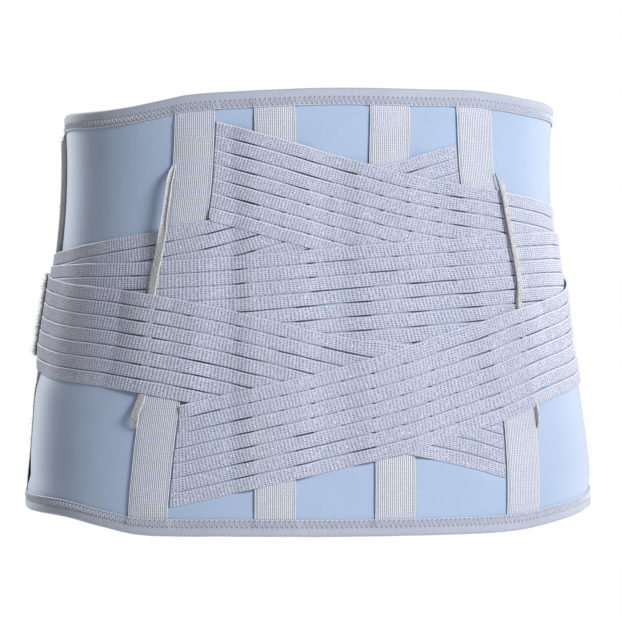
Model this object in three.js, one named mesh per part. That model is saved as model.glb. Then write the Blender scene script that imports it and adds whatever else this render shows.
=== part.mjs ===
// A lumbosacral brace in its worn shape: a soft back panel with bound edges, four stay channels,
// five elastic bands slit into strips that cross over the back, two keepers, and a plain front
// of two wings and two pull tabs.
// Sizes are in millimetres and angles in degrees. Z is up, the wearer's back faces -Y and X runs to
// the wearer's right. Angles run round the body from the middle of the back and grow towards X.
// A stand-off is a distance outwards from the outer face of the back panel.

import * as THREE from 'three';

// The body form: a rounded section that grows from the waist down to the hips.
const WAIST = { height: 92, halfWidth: 153.5, halfDepth: 108 };
const HIP = { height: -138, halfWidth: 179.5, halfDepth: 120 };
const SECTION_POWER = 2.4;
const FACET_ANGLE = 9;
const CLOSEST_STATIONS = 0.4;

// The upper and lower edges of the brace, binding included, by angle round the body.
const EDGE_ROWS = [
  { angle: -210, top: 107, bottom: -108 },
  { angle: -180, top: 105, bottom: -107 },
  { angle: -130, top: 115, bottom: -113 },
  { angle: -90, top: 124.6, bottom: -121.4 },
  { angle: -68, top: 124.2, bottom: -123.4 },
  { angle: -58, top: 125.6, bottom: -128.4 },
  { angle: -50, top: 128.7, bottom: -132.5 },
  { angle: -42, top: 132.1, bottom: -133.2 },
  { angle: -30, top: 133.9, bottom: -133 },
  { angle: 0, top: 136.4, bottom: -133.5 },
  { angle: 30, top: 136.3, bottom: -133.3 },
  { angle: 42, top: 136.5, bottom: -133 },
  { angle: 50, top: 135.3, bottom: -131.8 },
  { angle: 60, top: 133.2, bottom: -128 },
  { angle: 75, top: 130.9, bottom: -122.2 },
  { angle: 100, top: 125, bottom: -116 },
  { angle: 130, top: 115, bottom: -113 },
  { angle: 180, top: 105, bottom: -107 },
  { angle: 210, top: 107, bottom: -108 },
];

// Soft goods
const PANEL_THICKNESS = 3;
const PANEL_END_ANGLE = 112;
const PANEL_ROWS = 9;
const BINDING_WIDTH = 10.5;
const BINDING_THICKNESS = 1.2;
const BINDING_ROUND = 0.8;
const LAYER_GAP = 0.4;

// Stay channels: the middle of each tape by height, and its thickness across the width.
const CHANNEL_WIDTH = 24.5;
const CHANNEL_ROWS = 11;
const CHANNEL_SECTION = [
  { share: 0, thickness: 0.9 },
  { share: 0.16, thickness: 1.5 },
  { share: 0.4, thickness: 2 },
  { share: 0.6, thickness: 2 },
  { share: 0.84, thickness: 1.5 },
  { share: 1, thickness: 0.9 },
];
const CHANNEL_TOP_THICKNESS = 2;
const CHANNEL_PATHS = {
  stay_channel_inner_left: [{ height: -140, angle: -17 }, { height: 140, angle: -18.4 }],
  stay_channel_inner_right: [{ height: -140, angle: 16.6 }, { height: 140, angle: 17.7 }],
  stay_channel_outer_left: [
    { height: -140, angle: -47.9 },
    { height: -85, angle: -46.7 },
    { height: -52, angle: -45.8 },
    { height: 59, angle: -41.8 },
    { height: 90, angle: -40.8 },
    { height: 140, angle: -39.8 },
  ],
  stay_channel_outer_right: [
    { height: -140, angle: 49.8 },
    { height: -85, angle: 50.4 },
    { height: -55, angle: 50.3 },
    { height: 60, angle: 44.9 },
    { height: 90, angle: 43.5 },
    { height: 140, angle: 42 },
  ],
};

// Crossing bands: seven strips side by side with open slits between them.
const BAND_WIDTH = 59;
const BAND_THICKNESS = 1.2;
const STRIP_COUNT = 7;
const SLIT_WIDTH = 0.9;
const SEWN_END = 4;
const BAND_END_ANGLE = 117;
const CHANNEL_CLEARANCE = 1;
const INNER_CHANNELS = ['stay_channel_inner_left', 'stay_channel_inner_right'];
const UPPER_BANDS = ['upper_band_to_right', 'upper_band_to_left'];
const BANDS = {
  upper_band_to_left: {
    sewnTo: 'stay_channel_outer_right',
    over: [...INNER_CHANNELS, 'stay_channel_outer_left', 'front_wing_left'],
    path: [
      { angle: -117, height: 5 },
      { angle: -81, height: 10.2 },
      { angle: -62, height: 15.6 },
      { angle: -45, height: 22.3 },
      { angle: -33, height: 28.2 },
      { angle: 23, height: 62.9 },
      { angle: 39, height: 73.6 },
    ],
  },
  upper_band_to_right: {
    sewnTo: 'stay_channel_outer_left',
    over: ['upper_band_to_left', ...INNER_CHANNELS, 'stay_channel_outer_right', 'front_wing_right'],
    path: [
      { angle: -36, height: 86.2 },
      { angle: -13, height: 72.7 },
      { angle: 11, height: 60.1 },
      { angle: 21, height: 55.3 },
      { angle: 38, height: 49.5 },
      { angle: 58, height: 43.6 },
      { angle: 69, height: 40.6 },
      { angle: 95, height: 33 },
      { angle: 117, height: 18 },
    ],
  },
  waist_band: {
    over: [...UPPER_BANDS, ...INNER_CHANNELS, 'stay_channel_outer_left', 'stay_channel_outer_right',
      'front_wing_left', 'front_wing_right'],
    path: [
      { angle: -117, height: 0.5 },
      { angle: -67, height: 1.4 },
      { angle: -48, height: 2.2 },
      { angle: -4.5, height: 9.5 },
      { angle: 37, height: 16.4 },
      { angle: 69, height: 21.8 },
      { angle: 95, height: 20 },
      { angle: 117, height: 12 },
    ],
  },
  lower_band_to_left: {
    sewnTo: 'stay_channel_outer_right',
    over: ['waist_band', ...UPPER_BANDS, 'keeper_left', ...INNER_CHANNELS, 'stay_channel_outer_left',
      'front_wing_left'],
    path: [
      { angle: -117, height: 3 },
      { angle: -95, height: -4.5 },
      { angle: -78, height: -9.9 },
      { angle: -59, height: -14.4 },
      { angle: -41, height: -22.2 },
      { angle: -14.6, height: -36.4 },
      { angle: 19.5, height: -53.6 },
      { angle: 38, height: -63.4 },
      { angle: 47, height: -70.2 },
    ],
  },
  lower_band_to_right: {
    sewnTo: 'stay_channel_outer_left',
    over: ['lower_band_to_left', 'waist_band', ...UPPER_BANDS, 'keeper_right', ...INNER_CHANNELS,
      'stay_channel_outer_right', 'front_wing_right'],
    path: [
      { angle: -43, height: -85.8 },
      { angle: -23.4, height: -74.4 },
      { angle: 1.5, height: -62.5 },
      { angle: 20, height: -52.9 },
      { angle: 41, height: -38.3 },
      { angle: 56, height: -25.5 },
      { angle: 73.5, height: -15.6 },
      { angle: 95, height: -5 },
      { angle: 117, height: 4 },
    ],
  },
};

// Keepers: narrow tapes from one end of a side to the other, over some bands and under the rest.
const KEEPER_WIDTH = 5;
const KEEPER_THICKNESS = 1.2;
const KEEPER_SLACK = 1;
const KEEPER_ROWS = 18;
const KEEPERS = {
  keeper_left: {
    over: ['waist_band', 'upper_band_to_left'],
    path: [
      { height: -70, angle: -52 },
      { height: -48, angle: -51.6 },
      { height: 14, angle: -50 },
      { height: 52, angle: -48.2 },
      { height: 76, angle: -47.2 },
      { height: 90, angle: -46.6 },
    ],
  },
  keeper_right: {
    over: ['waist_band', 'upper_band_to_right'],
    path: [
      { height: -70, angle: 56 },
      { height: -56, angle: 55.8 },
      { height: 6, angle: 54.4 },
      { height: 58, angle: 52.2 },
      { height: 76, angle: 51 },
      { height: 88, angle: 49.9 },
    ],
  },
};

// The plain front
const WING_THICKNESS = 2.2;
const WING_START_ANGLE = 93;
const WING_ROWS = 8;
const WINGS = {
  front_wing_right: { from: WING_START_ANGLE, to: 195, over: [] },
  front_wing_left: { from: -198, to: -WING_START_ANGLE, over: ['front_wing_right'] },
};
const TAB_THICKNESS = 2.4;
const TAB_HEIGHT = 52;
const TAB_CORNER = 5;
const TAB_ROWS = 6;
const TAB_CORNER_STEPS = [0, 1, 2.5, 5];
const TABS = {
  pull_tab_left: {
    from: -160, to: -94, height: -0.5,
    over: ['front_wing_left', 'upper_band_to_left', 'waist_band', 'lower_band_to_left'],
  },
  pull_tab_right: {
    from: 94, to: 160, height: 11,
    over: ['front_wing_right', 'upper_band_to_right', 'waist_band', 'lower_band_to_right'],
  },
};

// How far beyond the edge of a lower piece the piece over it is still lifted, and how far it takes
// to settle.
const LIFT_OVER = {
  band: { margin: 9, settle: 32 },
  channel: { margin: 0.5, settle: 18 },
  keeper: { margin: 20, settle: 16 },
  wing: { margin: 9, settle: 22 },
};

const COLOURS = {
  panel: { color: 0xaebfdf, roughness: 0.85, metalness: 0 },
  binding: { color: 0xaeb4c4, roughness: 0.9, metalness: 0 },
  channel: { color: 0xbcc0ce, roughness: 0.85, metalness: 0 },
  band: { color: 0xb6bacd, roughness: 0.8, metalness: 0 },
  keeper: { color: 0xbabbc3, roughness: 0.95, metalness: 0 },
  pile: { color: 0x8f929b, roughness: 1, metalness: 0 },
};

const FULL_TURN = 360;
const TO_RADIANS = Math.PI / 180;

// Reads one column of a table at a place along it, with a smooth curve through the rows.
function readRows(rows, along, column, at) {
  const last = rows.length - 1;
  if (at <= rows[0][along]) {
    return rows[0][column];
  }
  if (at >= rows[last][along]) {
    return rows[last][column];
  }
  let index = 0;
  while (rows[index + 1][along] < at) {
    index += 1;
  }
  const slopeAt = (row) => {
    const before = rows[Math.max(row - 1, 0)];
    const after = rows[Math.min(row + 1, last)];
    return (after[column] - before[column]) / (after[along] - before[along]);
  };
  const start = rows[index];
  const end = rows[index + 1];
  const span = end[along] - start[along];
  const t = (at - start[along]) / span;
  const startWeight = (1 + 2 * t) * (1 - t) * (1 - t);
  const endWeight = t * t * (3 - 2 * t);
  const startPull = t * (1 - t) * (1 - t) * span * slopeAt(index);
  const endPull = t * t * (t - 1) * span * slopeAt(index + 1);
  return startWeight * start[column] + endWeight * end[column] + startPull + endPull;
}

// Rises smoothly from 0 at the low value to 1 at the high value.
function smoothRise(low, high, value) {
  const t = Math.min(Math.max((value - low) / (high - low), 0), 1);
  return t * t * (3 - 2 * t);
}

// Half width and half depth of the body at a height.
function bodyHalfSizes(height) {
  const turn = (WAIST.height - height) / (WAIST.height - HIP.height);
  const share = 0.5 - 0.5 * Math.cos(Math.PI * turn);
  const halfWidth = WAIST.halfWidth + (HIP.halfWidth - WAIST.halfWidth) * share;
  const halfDepth = WAIST.halfDepth + (HIP.halfDepth - WAIST.halfDepth) * share;
  return { halfWidth, halfDepth };
}

// Distance from the body's axis to its surface.
function bodyRadius(angle, height) {
  const { halfWidth, halfDepth } = bodyHalfSizes(height);
  const across = Math.abs(Math.sin(angle * TO_RADIANS)) / halfWidth;
  const deep = Math.abs(Math.cos(angle * TO_RADIANS)) / halfDepth;
  return (across ** SECTION_POWER + deep ** SECTION_POWER) ** (-1 / SECTION_POWER);
}

// A point at a stand-off from the smooth body surface, pushed out level along the section's normal.
function bodyPoint(angle, height, standOff) {
  const { halfWidth, halfDepth } = bodyHalfSizes(height);
  const radius = bodyRadius(angle, height);
  const x = radius * Math.sin(angle * TO_RADIANS);
  const y = -radius * Math.cos(angle * TO_RADIANS);
  const steepX = Math.sign(x) * Math.abs(x) ** (SECTION_POWER - 1) / halfWidth ** SECTION_POWER;
  const steepY = Math.sign(y) * Math.abs(y) ** (SECTION_POWER - 1) / halfDepth ** SECTION_POWER;
  const steep = Math.hypot(steepX, steepY);
  return new THREE.Vector3(x + standOff * steepX / steep, y + standOff * steepY / steep, height);
}

// The same on the flat facets that every layer shares, so that layers stay parallel.
function facetPoint(angle, height, standOff) {
  const low = Math.floor(angle / FACET_ANGLE) * FACET_ANGLE;
  const share = (angle - low) / FACET_ANGLE;
  const start = bodyPoint(low, height, standOff);
  return start.lerp(bodyPoint(low + FACET_ANGLE, height, standOff), share);
}

// Millimetres along the surface for one degree of angle.
function arcPerDegree(angle, height) {
  const span = 0.5;
  const start = bodyPoint(angle - span, height, 0);
  return start.distanceTo(bodyPoint(angle + span, height, 0)) / (2 * span);
}

function topEdge(angle) {
  return readRows(EDGE_ROWS, 'angle', 'top', angle);
}

function bottomEdge(angle) {
  return readRows(EDGE_ROWS, 'angle', 'bottom', angle);
}

function channelAngle(name, height) {
  return readRows(CHANNEL_PATHS[name], 'height', 'angle', height);
}

function keeperAngle(name, height) {
  return readRows(KEEPERS[name].path, 'height', 'angle', height);
}

function bandHeight(name, angle) {
  return readRows(BANDS[name].path, 'angle', 'height', angle);
}

// The band's width measured upright, which grows with its slope.
function bandUprightWidth(name, angle) {
  const reach = 2;
  const rise = bandHeight(name, angle + reach) - bandHeight(name, angle - reach);
  const run = 2 * reach * arcPerDegree(angle, bandHeight(name, angle));
  return BAND_WIDTH * Math.hypot(1, rise / run);
}

// Where a band starts and ends: a sewn end stops just short of the channel it is sewn to.
function bandReach(name) {
  const { sewnTo, path } = BANDS[name];
  const reach = { from: -BAND_END_ANGLE, to: BAND_END_ANGLE };
  if (sewnTo) {
    const side = Math.sign(channelAngle(sewnTo, 0));
    const sewnRow = side < 0 ? path[0] : path[path.length - 1];
    reach[side < 0 ? 'from' : 'to'] = sewnRow.angle;
  }
  return reach;
}

// How far inside a piece's outline a place on the body lies. Negative values are outside.
function depthInside(name, angle, height) {
  if (name in CHANNEL_PATHS) {
    const offset = Math.abs(angle - channelAngle(name, height)) * arcPerDegree(angle, height);
    return CHANNEL_WIDTH / 2 - offset;
  }
  if (name in KEEPERS) {
    const path = KEEPERS[name].path;
    const beyond = Math.max(path[0].height - height, height - path[path.length - 1].height);
    const offset = Math.abs(angle - keeperAngle(name, height)) * arcPerDegree(angle, height);
    return Math.min(KEEPER_WIDTH / 2 - offset, -beyond);
  }
  if (name in BANDS) {
    const reach = bandReach(name);
    const beyond = Math.max(reach.from - angle, angle - reach.to) * arcPerDegree(angle, height);
    const offset = Math.abs(height - bandHeight(name, angle));
    return Math.min(bandUprightWidth(name, angle) / 2 - offset, -beyond);
  }
  const { from, to } = WINGS[name];
  const turns = [angle - FULL_TURN, angle, angle + FULL_TURN];
  const inside = turns.map((turned) => Math.min(turned - from, to - turned));
  return Math.max(...inside) * arcPerDegree(angle, height);
}

function pieceKind(name) {
  if (name in CHANNEL_PATHS) {
    return 'channel';
  }
  if (name in KEEPERS) {
    return 'keeper';
  }
  return name in BANDS ? 'band' : 'wing';
}

const PIECE_THICKNESS = {
  band: BAND_THICKNESS,
  channel: CHANNEL_TOP_THICKNESS,
  keeper: KEEPER_THICKNESS,
  wing: WING_THICKNESS,
};

function piecesUnder(name) {
  const piece = BANDS[name] || KEEPERS[name] || WINGS[name] || TABS[name];
  return piece ? piece.over : [];
}

// The stand-off of a piece's inner face: it rests on whatever lies under it at that place.
function restingStandOff(name, angle, height) {
  let standOff = LAYER_GAP;
  for (const lower of piecesUnder(name)) {
    const kind = pieceKind(lower);
    const { margin, settle } = LIFT_OVER[kind];
    const lift = smoothRise(-margin - settle, -margin, depthInside(lower, angle, height));
    if (lift > 0) {
      const keeper = kind === 'keeper';
      const base = keeper ? keeperStandOff(lower, height) : restingStandOff(lower, angle, height);
      const top = base + PIECE_THICKNESS[kind] + LAYER_GAP;
      standOff = Math.max(standOff, lift * top);
    }
  }
  return standOff;
}

// The angles of a keeper's two edges at a height.
function keeperEdges(name, height) {
  const middle = keeperAngle(name, height);
  const half = KEEPER_WIDTH / 2 / arcPerDegree(middle, height);
  return [middle - half, middle + half];
}

// A keeper lies flat across its width, clear of the higher side.
function keeperStandOff(name, height) {
  const sides = keeperEdges(name, height).map((angle) => restingStandOff(name, angle, height));
  return Math.max(...sides) + KEEPER_SLACK;
}

// The facet angles between two ends, with the ends themselves and any extra angles between.
function stationAngles(from, to, extra = []) {
  const angles = [from, to, ...extra];
  for (let facet = Math.ceil(from / FACET_ANGLE); facet * FACET_ANGLE < to; facet += 1) {
    const angle = facet * FACET_ANGLE;
    if (angles.every((other) => Math.abs(other - angle) > CLOSEST_STATIONS)) {
      angles.push(angle);
    }
  }
  return angles.sort((a, b) => a - b);
}

// A closed sheet over a grid: pointAt gives the inner and outer point at each crossing of a row and
// a column, and isFilled says which cells are cloth. Rows run round the body and columns upwards.
function sheetGeometry(rowLines, columnLines, pointAt, isFilled = () => true) {
  const positions = [];
  const indices = [];
  for (let row = 0; row < rowLines; row += 1) {
    for (let column = 0; column < columnLines; column += 1) {
      const pair = pointAt(row, column);
      positions.push(...pair.inner.toArray(), ...pair.outer.toArray());
    }
  }
  const inner = (row, column) => 2 * (row * columnLines + column);
  const outer = (row, column) => inner(row, column) + 1;
  const cloth = (row, column) => {
    const inside = row >= 0 && column >= 0 && row < rowLines - 1 && column < columnLines - 1;
    return inside && isFilled(row, column);
  };
  const quad = (a, b, c, d) => indices.push(a, b, c, a, c, d);
  for (let row = 0; row < rowLines - 1; row += 1) {
    for (let column = 0; column < columnLines - 1; column += 1) {
      if (!cloth(row, column)) {
        continue;
      }
      const [inLow, inHigh] = [inner(row, column), inner(row, column + 1)];
      const [inNextLow, inNextHigh] = [inner(row + 1, column), inner(row + 1, column + 1)];
      const [outLow, outHigh] = [outer(row, column), outer(row, column + 1)];
      const [outNextLow, outNextHigh] = [outer(row + 1, column), outer(row + 1, column + 1)];
      quad(outLow, outNextLow, outNextHigh, outHigh);
      quad(inLow, inHigh, inNextHigh, inNextLow);
      if (!cloth(row - 1, column)) {
        quad(inLow, outLow, outHigh, inHigh);
      }
      if (!cloth(row + 1, column)) {
        quad(outNextLow, inNextLow, inNextHigh, outNextHigh);
      }
      if (!cloth(row, column - 1)) {
        quad(inLow, inNextLow, outNextLow, outLow);
      }
      if (!cloth(row, column + 1)) {
        quad(outHigh, outNextHigh, inNextHigh, inHigh);
      }
    }
  }
  const geometry = new THREE.BufferGeometry();
  geometry.setAttribute('position', new THREE.Float32BufferAttribute(positions, 3));
  geometry.setIndex(indices);
  geometry.computeVertexNormals();
  return geometry;
}

function clothPair(angle, height, standOff, thickness) {
  const inner = facetPoint(angle, height, standOff);
  const outer = facetPoint(angle, height, standOff + thickness);
  return { inner, outer };
}

// The panel stops inside the fold of each binding.
function panelGeometry() {
  const angles = stationAngles(-PANEL_END_ANGLE, PANEL_END_ANGLE);
  const inset = BINDING_THICKNESS + LAYER_GAP;
  return sheetGeometry(angles.length, PANEL_ROWS + 1, (row, column) => {
    const low = bottomEdge(angles[row]) + inset;
    const high = topEdge(angles[row]) - inset;
    const height = low + (high - low) * column / PANEL_ROWS;
    return clothPair(angles[row], height, -PANEL_THICKNESS, PANEL_THICKNESS);
  });
}

// The tape folded over an edge: from the outer flap, over the fold, to the inner flap.
function bindingFold() {
  const outFace = LAYER_GAP;
  const inFace = -PANEL_THICKNESS - LAYER_GAP;
  const skin = BINDING_THICKNESS;
  const fold = skin;
  const round = BINDING_ROUND;
  return [
    { inner: [outFace, BINDING_WIDTH], outer: [outFace + skin, BINDING_WIDTH] },
    { inner: [outFace, fold], outer: [outFace + skin, round] },
    { inner: [outFace - skin / 4, fold], outer: [outFace + skin - round, 0] },
    { inner: [inFace + skin / 4, fold], outer: [inFace - skin + round, 0] },
    { inner: [inFace, fold], outer: [inFace - skin, round] },
    { inner: [inFace, BINDING_WIDTH], outer: [inFace - skin, BINDING_WIDTH] },
  ];
}

function bindingGeometry(edge, upSign) {
  const angles = stationAngles(-PANEL_END_ANGLE, PANEL_END_ANGLE);
  const fold = bindingFold();
  if (upSign < 0) {
    fold.reverse();
  }
  return sheetGeometry(angles.length, fold.length, (row, column) => {
    const edgeHeight = edge(angles[row]);
    const place = ([standOff, drop]) => facetPoint(angles[row], edgeHeight - upSign * drop, standOff);
    return { inner: place(fold[column].inner), outer: place(fold[column].outer) };
  });
}

function channelGeometry(name) {
  const clear = BINDING_WIDTH + 2 * LAYER_GAP;
  const angleAt = (share, height) => {
    const middle = channelAngle(name, height);
    return middle + (share - 0.5) * CHANNEL_WIDTH / arcPerDegree(middle, height);
  };
  return sheetGeometry(CHANNEL_SECTION.length, CHANNEL_ROWS + 1, (row, column) => {
    const { share, thickness } = CHANNEL_SECTION[row];
    const low = bottomEdge(angleAt(share, HIP.height)) + clear;
    const high = topEdge(angleAt(share, WAIST.height)) - clear;
    const height = low + (high - low) * column / CHANNEL_ROWS;
    return clothPair(angleAt(share, height), height, LAYER_GAP, thickness);
  });
}

// The lines along a band, from its lower edge up: strip, slit, strip and so on.
function bandLines() {
  const pitch = (BAND_WIDTH + SLIT_WIDTH) / STRIP_COUNT;
  const lines = [];
  for (let strip = 0; strip < STRIP_COUNT; strip += 1) {
    lines.push(strip * pitch - BAND_WIDTH / 2, strip * pitch + pitch - SLIT_WIDTH - BAND_WIDTH / 2);
  }
  return lines;
}

// A sewn end follows the slanted edge of its channel; the slant fades out towards the other end.
function bandGeometry(name) {
  const { sewnTo } = BANDS[name];
  const reach = bandReach(name);
  const sewnEnd = (angle) => SEWN_END / arcPerDegree(angle, bandHeight(name, angle));
  const extra = [reach.from + sewnEnd(reach.from), reach.to - sewnEnd(reach.to)];
  const angles = stationAngles(reach.from, reach.to, extra);
  const lines = bandLines();
  const heightOn = (angle, line) => {
    return bandHeight(name, angle) + line * bandUprightWidth(name, angle) / BAND_WIDTH;
  };
  const placeOn = (row, line) => {
    let angle = angles[row];
    if (sewnTo) {
      const side = Math.sign(channelAngle(sewnTo, 0));
      const endRow = side < 0 ? 0 : angles.length - 1;
      const steps = Math.abs(row - endRow);
      if (steps < 2) {
        const edgeHeight = heightOn(angle, line);
        const halfWidth = CHANNEL_WIDTH / 2 + CHANNEL_CLEARANCE + (steps > 0 ? SEWN_END : 0);
        angle = channelAngle(sewnTo, edgeHeight) - side * halfWidth / arcPerDegree(angle, edgeHeight);
      }
    }
    return { angle, height: heightOn(angle, line) };
  };
  const pointAt = (row, column) => {
    const { angle, height } = placeOn(row, lines[column]);
    return clothPair(angle, height, restingStandOff(name, angle, height), BAND_THICKNESS);
  };
  const isFilled = (row, column) => column % 2 === 0 || row === 0 || row === angles.length - 2;
  return sheetGeometry(angles.length, lines.length, pointAt, isFilled);
}

function keeperGeometry(name) {
  const { path } = KEEPERS[name];
  const low = path[0].height;
  const high = path[path.length - 1].height;
  return sheetGeometry(2, KEEPER_ROWS + 1, (row, column) => {
    const height = low + (high - low) * column / KEEPER_ROWS;
    const angle = keeperEdges(name, height)[row];
    return clothPair(angle, height, keeperStandOff(name, height), KEEPER_THICKNESS);
  });
}

function wingGeometry(name) {
  const { from, to } = WINGS[name];
  const angles = stationAngles(from, to);
  const clear = BINDING_WIDTH + LAYER_GAP;
  return sheetGeometry(angles.length, WING_ROWS + 1, (row, column) => {
    const low = bottomEdge(angles[row]) + clear;
    const high = topEdge(angles[row]) - clear;
    const height = low + (high - low) * column / WING_ROWS;
    return clothPair(angles[row], height, restingStandOff(name, angles[row], height), WING_THICKNESS);
  });
}

// Half the tab's height at a distance from its nearer end, with rounded corners.
function tabHalfHeight(distance) {
  const short = Math.max(TAB_CORNER - distance, 0);
  return TAB_HEIGHT / 2 - TAB_CORNER + Math.sqrt(TAB_CORNER * TAB_CORNER - short * short);
}

function tabGeometry(name) {
  const { from, to, height } = TABS[name];
  const perDegree = arcPerDegree(from, height);
  const cornerAngles = TAB_CORNER_STEPS.slice(1).map((step) => step / perDegree);
  const extra = cornerAngles.flatMap((angle) => [from + angle, to - angle]);
  const angles = stationAngles(from, to, extra);
  return sheetGeometry(angles.length, TAB_ROWS + 1, (row, column) => {
    const angle = angles[row];
    const distance = Math.min(angle - from, to - angle) * perDegree;
    const rise = tabHalfHeight(distance) * (2 * column / TAB_ROWS - 1);
    return clothPair(angle, height + rise, restingStandOff(name, angle, height + rise), TAB_THICKNESS);
  });
}

function makePiece(name, geometry, look) {
  const mesh = new THREE.Mesh(geometry, new THREE.MeshStandardMaterial(look));
  mesh.name = name;
  return mesh;
}

const brace = new THREE.Group();
brace.name = 'lumbosacral_brace';
brace.add(makePiece('back_panel', panelGeometry(), COLOURS.panel));
brace.add(makePiece('top_binding', bindingGeometry(topEdge, 1), COLOURS.binding));
brace.add(makePiece('bottom_binding', bindingGeometry(bottomEdge, -1), COLOURS.binding));
for (const name of Object.keys(CHANNEL_PATHS)) {
  brace.add(makePiece(name, channelGeometry(name), COLOURS.channel));
}
for (const name of Object.keys(BANDS)) {
  brace.add(makePiece(name, bandGeometry(name), COLOURS.band));
}
for (const name of Object.keys(KEEPERS)) {
  brace.add(makePiece(name, keeperGeometry(name), COLOURS.keeper));
}
for (const name of Object.keys(WINGS)) {
  brace.add(makePiece(name, wingGeometry(name), COLOURS.pile));
}
for (const name of Object.keys(TABS)) {
  brace.add(makePiece(name, tabGeometry(name), COLOURS.pile));
}

export default brace;
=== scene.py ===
import math
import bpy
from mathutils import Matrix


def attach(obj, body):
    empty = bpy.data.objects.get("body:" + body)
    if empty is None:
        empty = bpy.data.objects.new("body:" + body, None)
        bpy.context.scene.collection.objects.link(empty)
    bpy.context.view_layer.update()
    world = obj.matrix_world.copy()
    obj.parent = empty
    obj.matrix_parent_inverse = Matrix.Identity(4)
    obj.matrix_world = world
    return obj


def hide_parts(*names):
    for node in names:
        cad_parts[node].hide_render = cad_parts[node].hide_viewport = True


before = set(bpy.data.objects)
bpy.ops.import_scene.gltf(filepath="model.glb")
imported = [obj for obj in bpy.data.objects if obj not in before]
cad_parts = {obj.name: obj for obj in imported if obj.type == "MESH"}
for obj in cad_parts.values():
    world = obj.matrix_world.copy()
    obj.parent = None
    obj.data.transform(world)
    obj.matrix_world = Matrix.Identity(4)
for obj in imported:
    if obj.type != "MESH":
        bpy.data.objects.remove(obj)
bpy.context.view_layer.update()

from types import SimpleNamespace

import bpy
import numpy as np
from bpy.props import FloatProperty, FloatVectorProperty, IntProperty, PointerProperty

bl_info = {
    "name": "Lumbosacral brace",
    "version": (1, 0, 0),
    "blender": (4, 5, 0),
    "location": "3D View > Sidebar > Brace",
    "description": "Builds a worn back brace: panel, bindings, stay channels, bands, keepers and front",
    "category": "Add Mesh",
}

# Tables are in millimetres and degrees; meshes are made in metres. Z is up, the back faces -Y, and
# angles run round the body from the middle of the back and grow towards +X. A stand-off is a
# distance outwards from the outer face of the back panel.
MM = 0.001
SEED = 20
FULL_TURN = 360.0

# The body form: a rounded section that grows from the waist down to the hips.
WAIST = {"height": 92.0, "half_width": 153.5, "half_depth": 108.0}
HIP = {"height": -138.0, "half_width": 179.5, "half_depth": 120.0}
SECTION_POWER = 2.4

# Angle, upper edge and lower edge of the brace, binding included.
EDGE_ROWS = (
    (-210, 107, -108),
    (-180, 105, -107),
    (-130, 115, -113),
    (-90, 124.6, -121.4),
    (-68, 124.2, -123.4),
    (-58, 125.6, -128.4),
    (-50, 128.7, -132.5),
    (-42, 132.1, -133.2),
    (-30, 133.9, -133),
    (0, 136.4, -133.5),
    (30, 136.3, -133.3),
    (42, 136.5, -133),
    (50, 135.3, -131.8),
    (60, 133.2, -128),
    (75, 130.9, -122.2),
    (100, 125, -116),
    (130, 115, -113),
    (180, 105, -107),
    (210, 107, -108),
)
TOP_COLUMN = 1
BOTTOM_COLUMN = 2

PANEL_END_ANGLE = 112.0

# The middle of each stay channel: height and angle.
CHANNEL_PATHS = {
    "stay_channel_inner_left": ((-140, -17), (140, -18.4)),
    "stay_channel_inner_right": ((-140, 16.6), (140, 17.7)),
    "stay_channel_outer_left": (
        (-140, -47.9), (-85, -46.7), (-52, -45.8), (59, -41.8), (90, -40.8), (140, -39.8),
    ),
    "stay_channel_outer_right": (
        (-140, 49.8), (-85, 50.4), (-55, 50.3), (60, 44.9), (90, 43.5), (140, 42),
    ),
}

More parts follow.
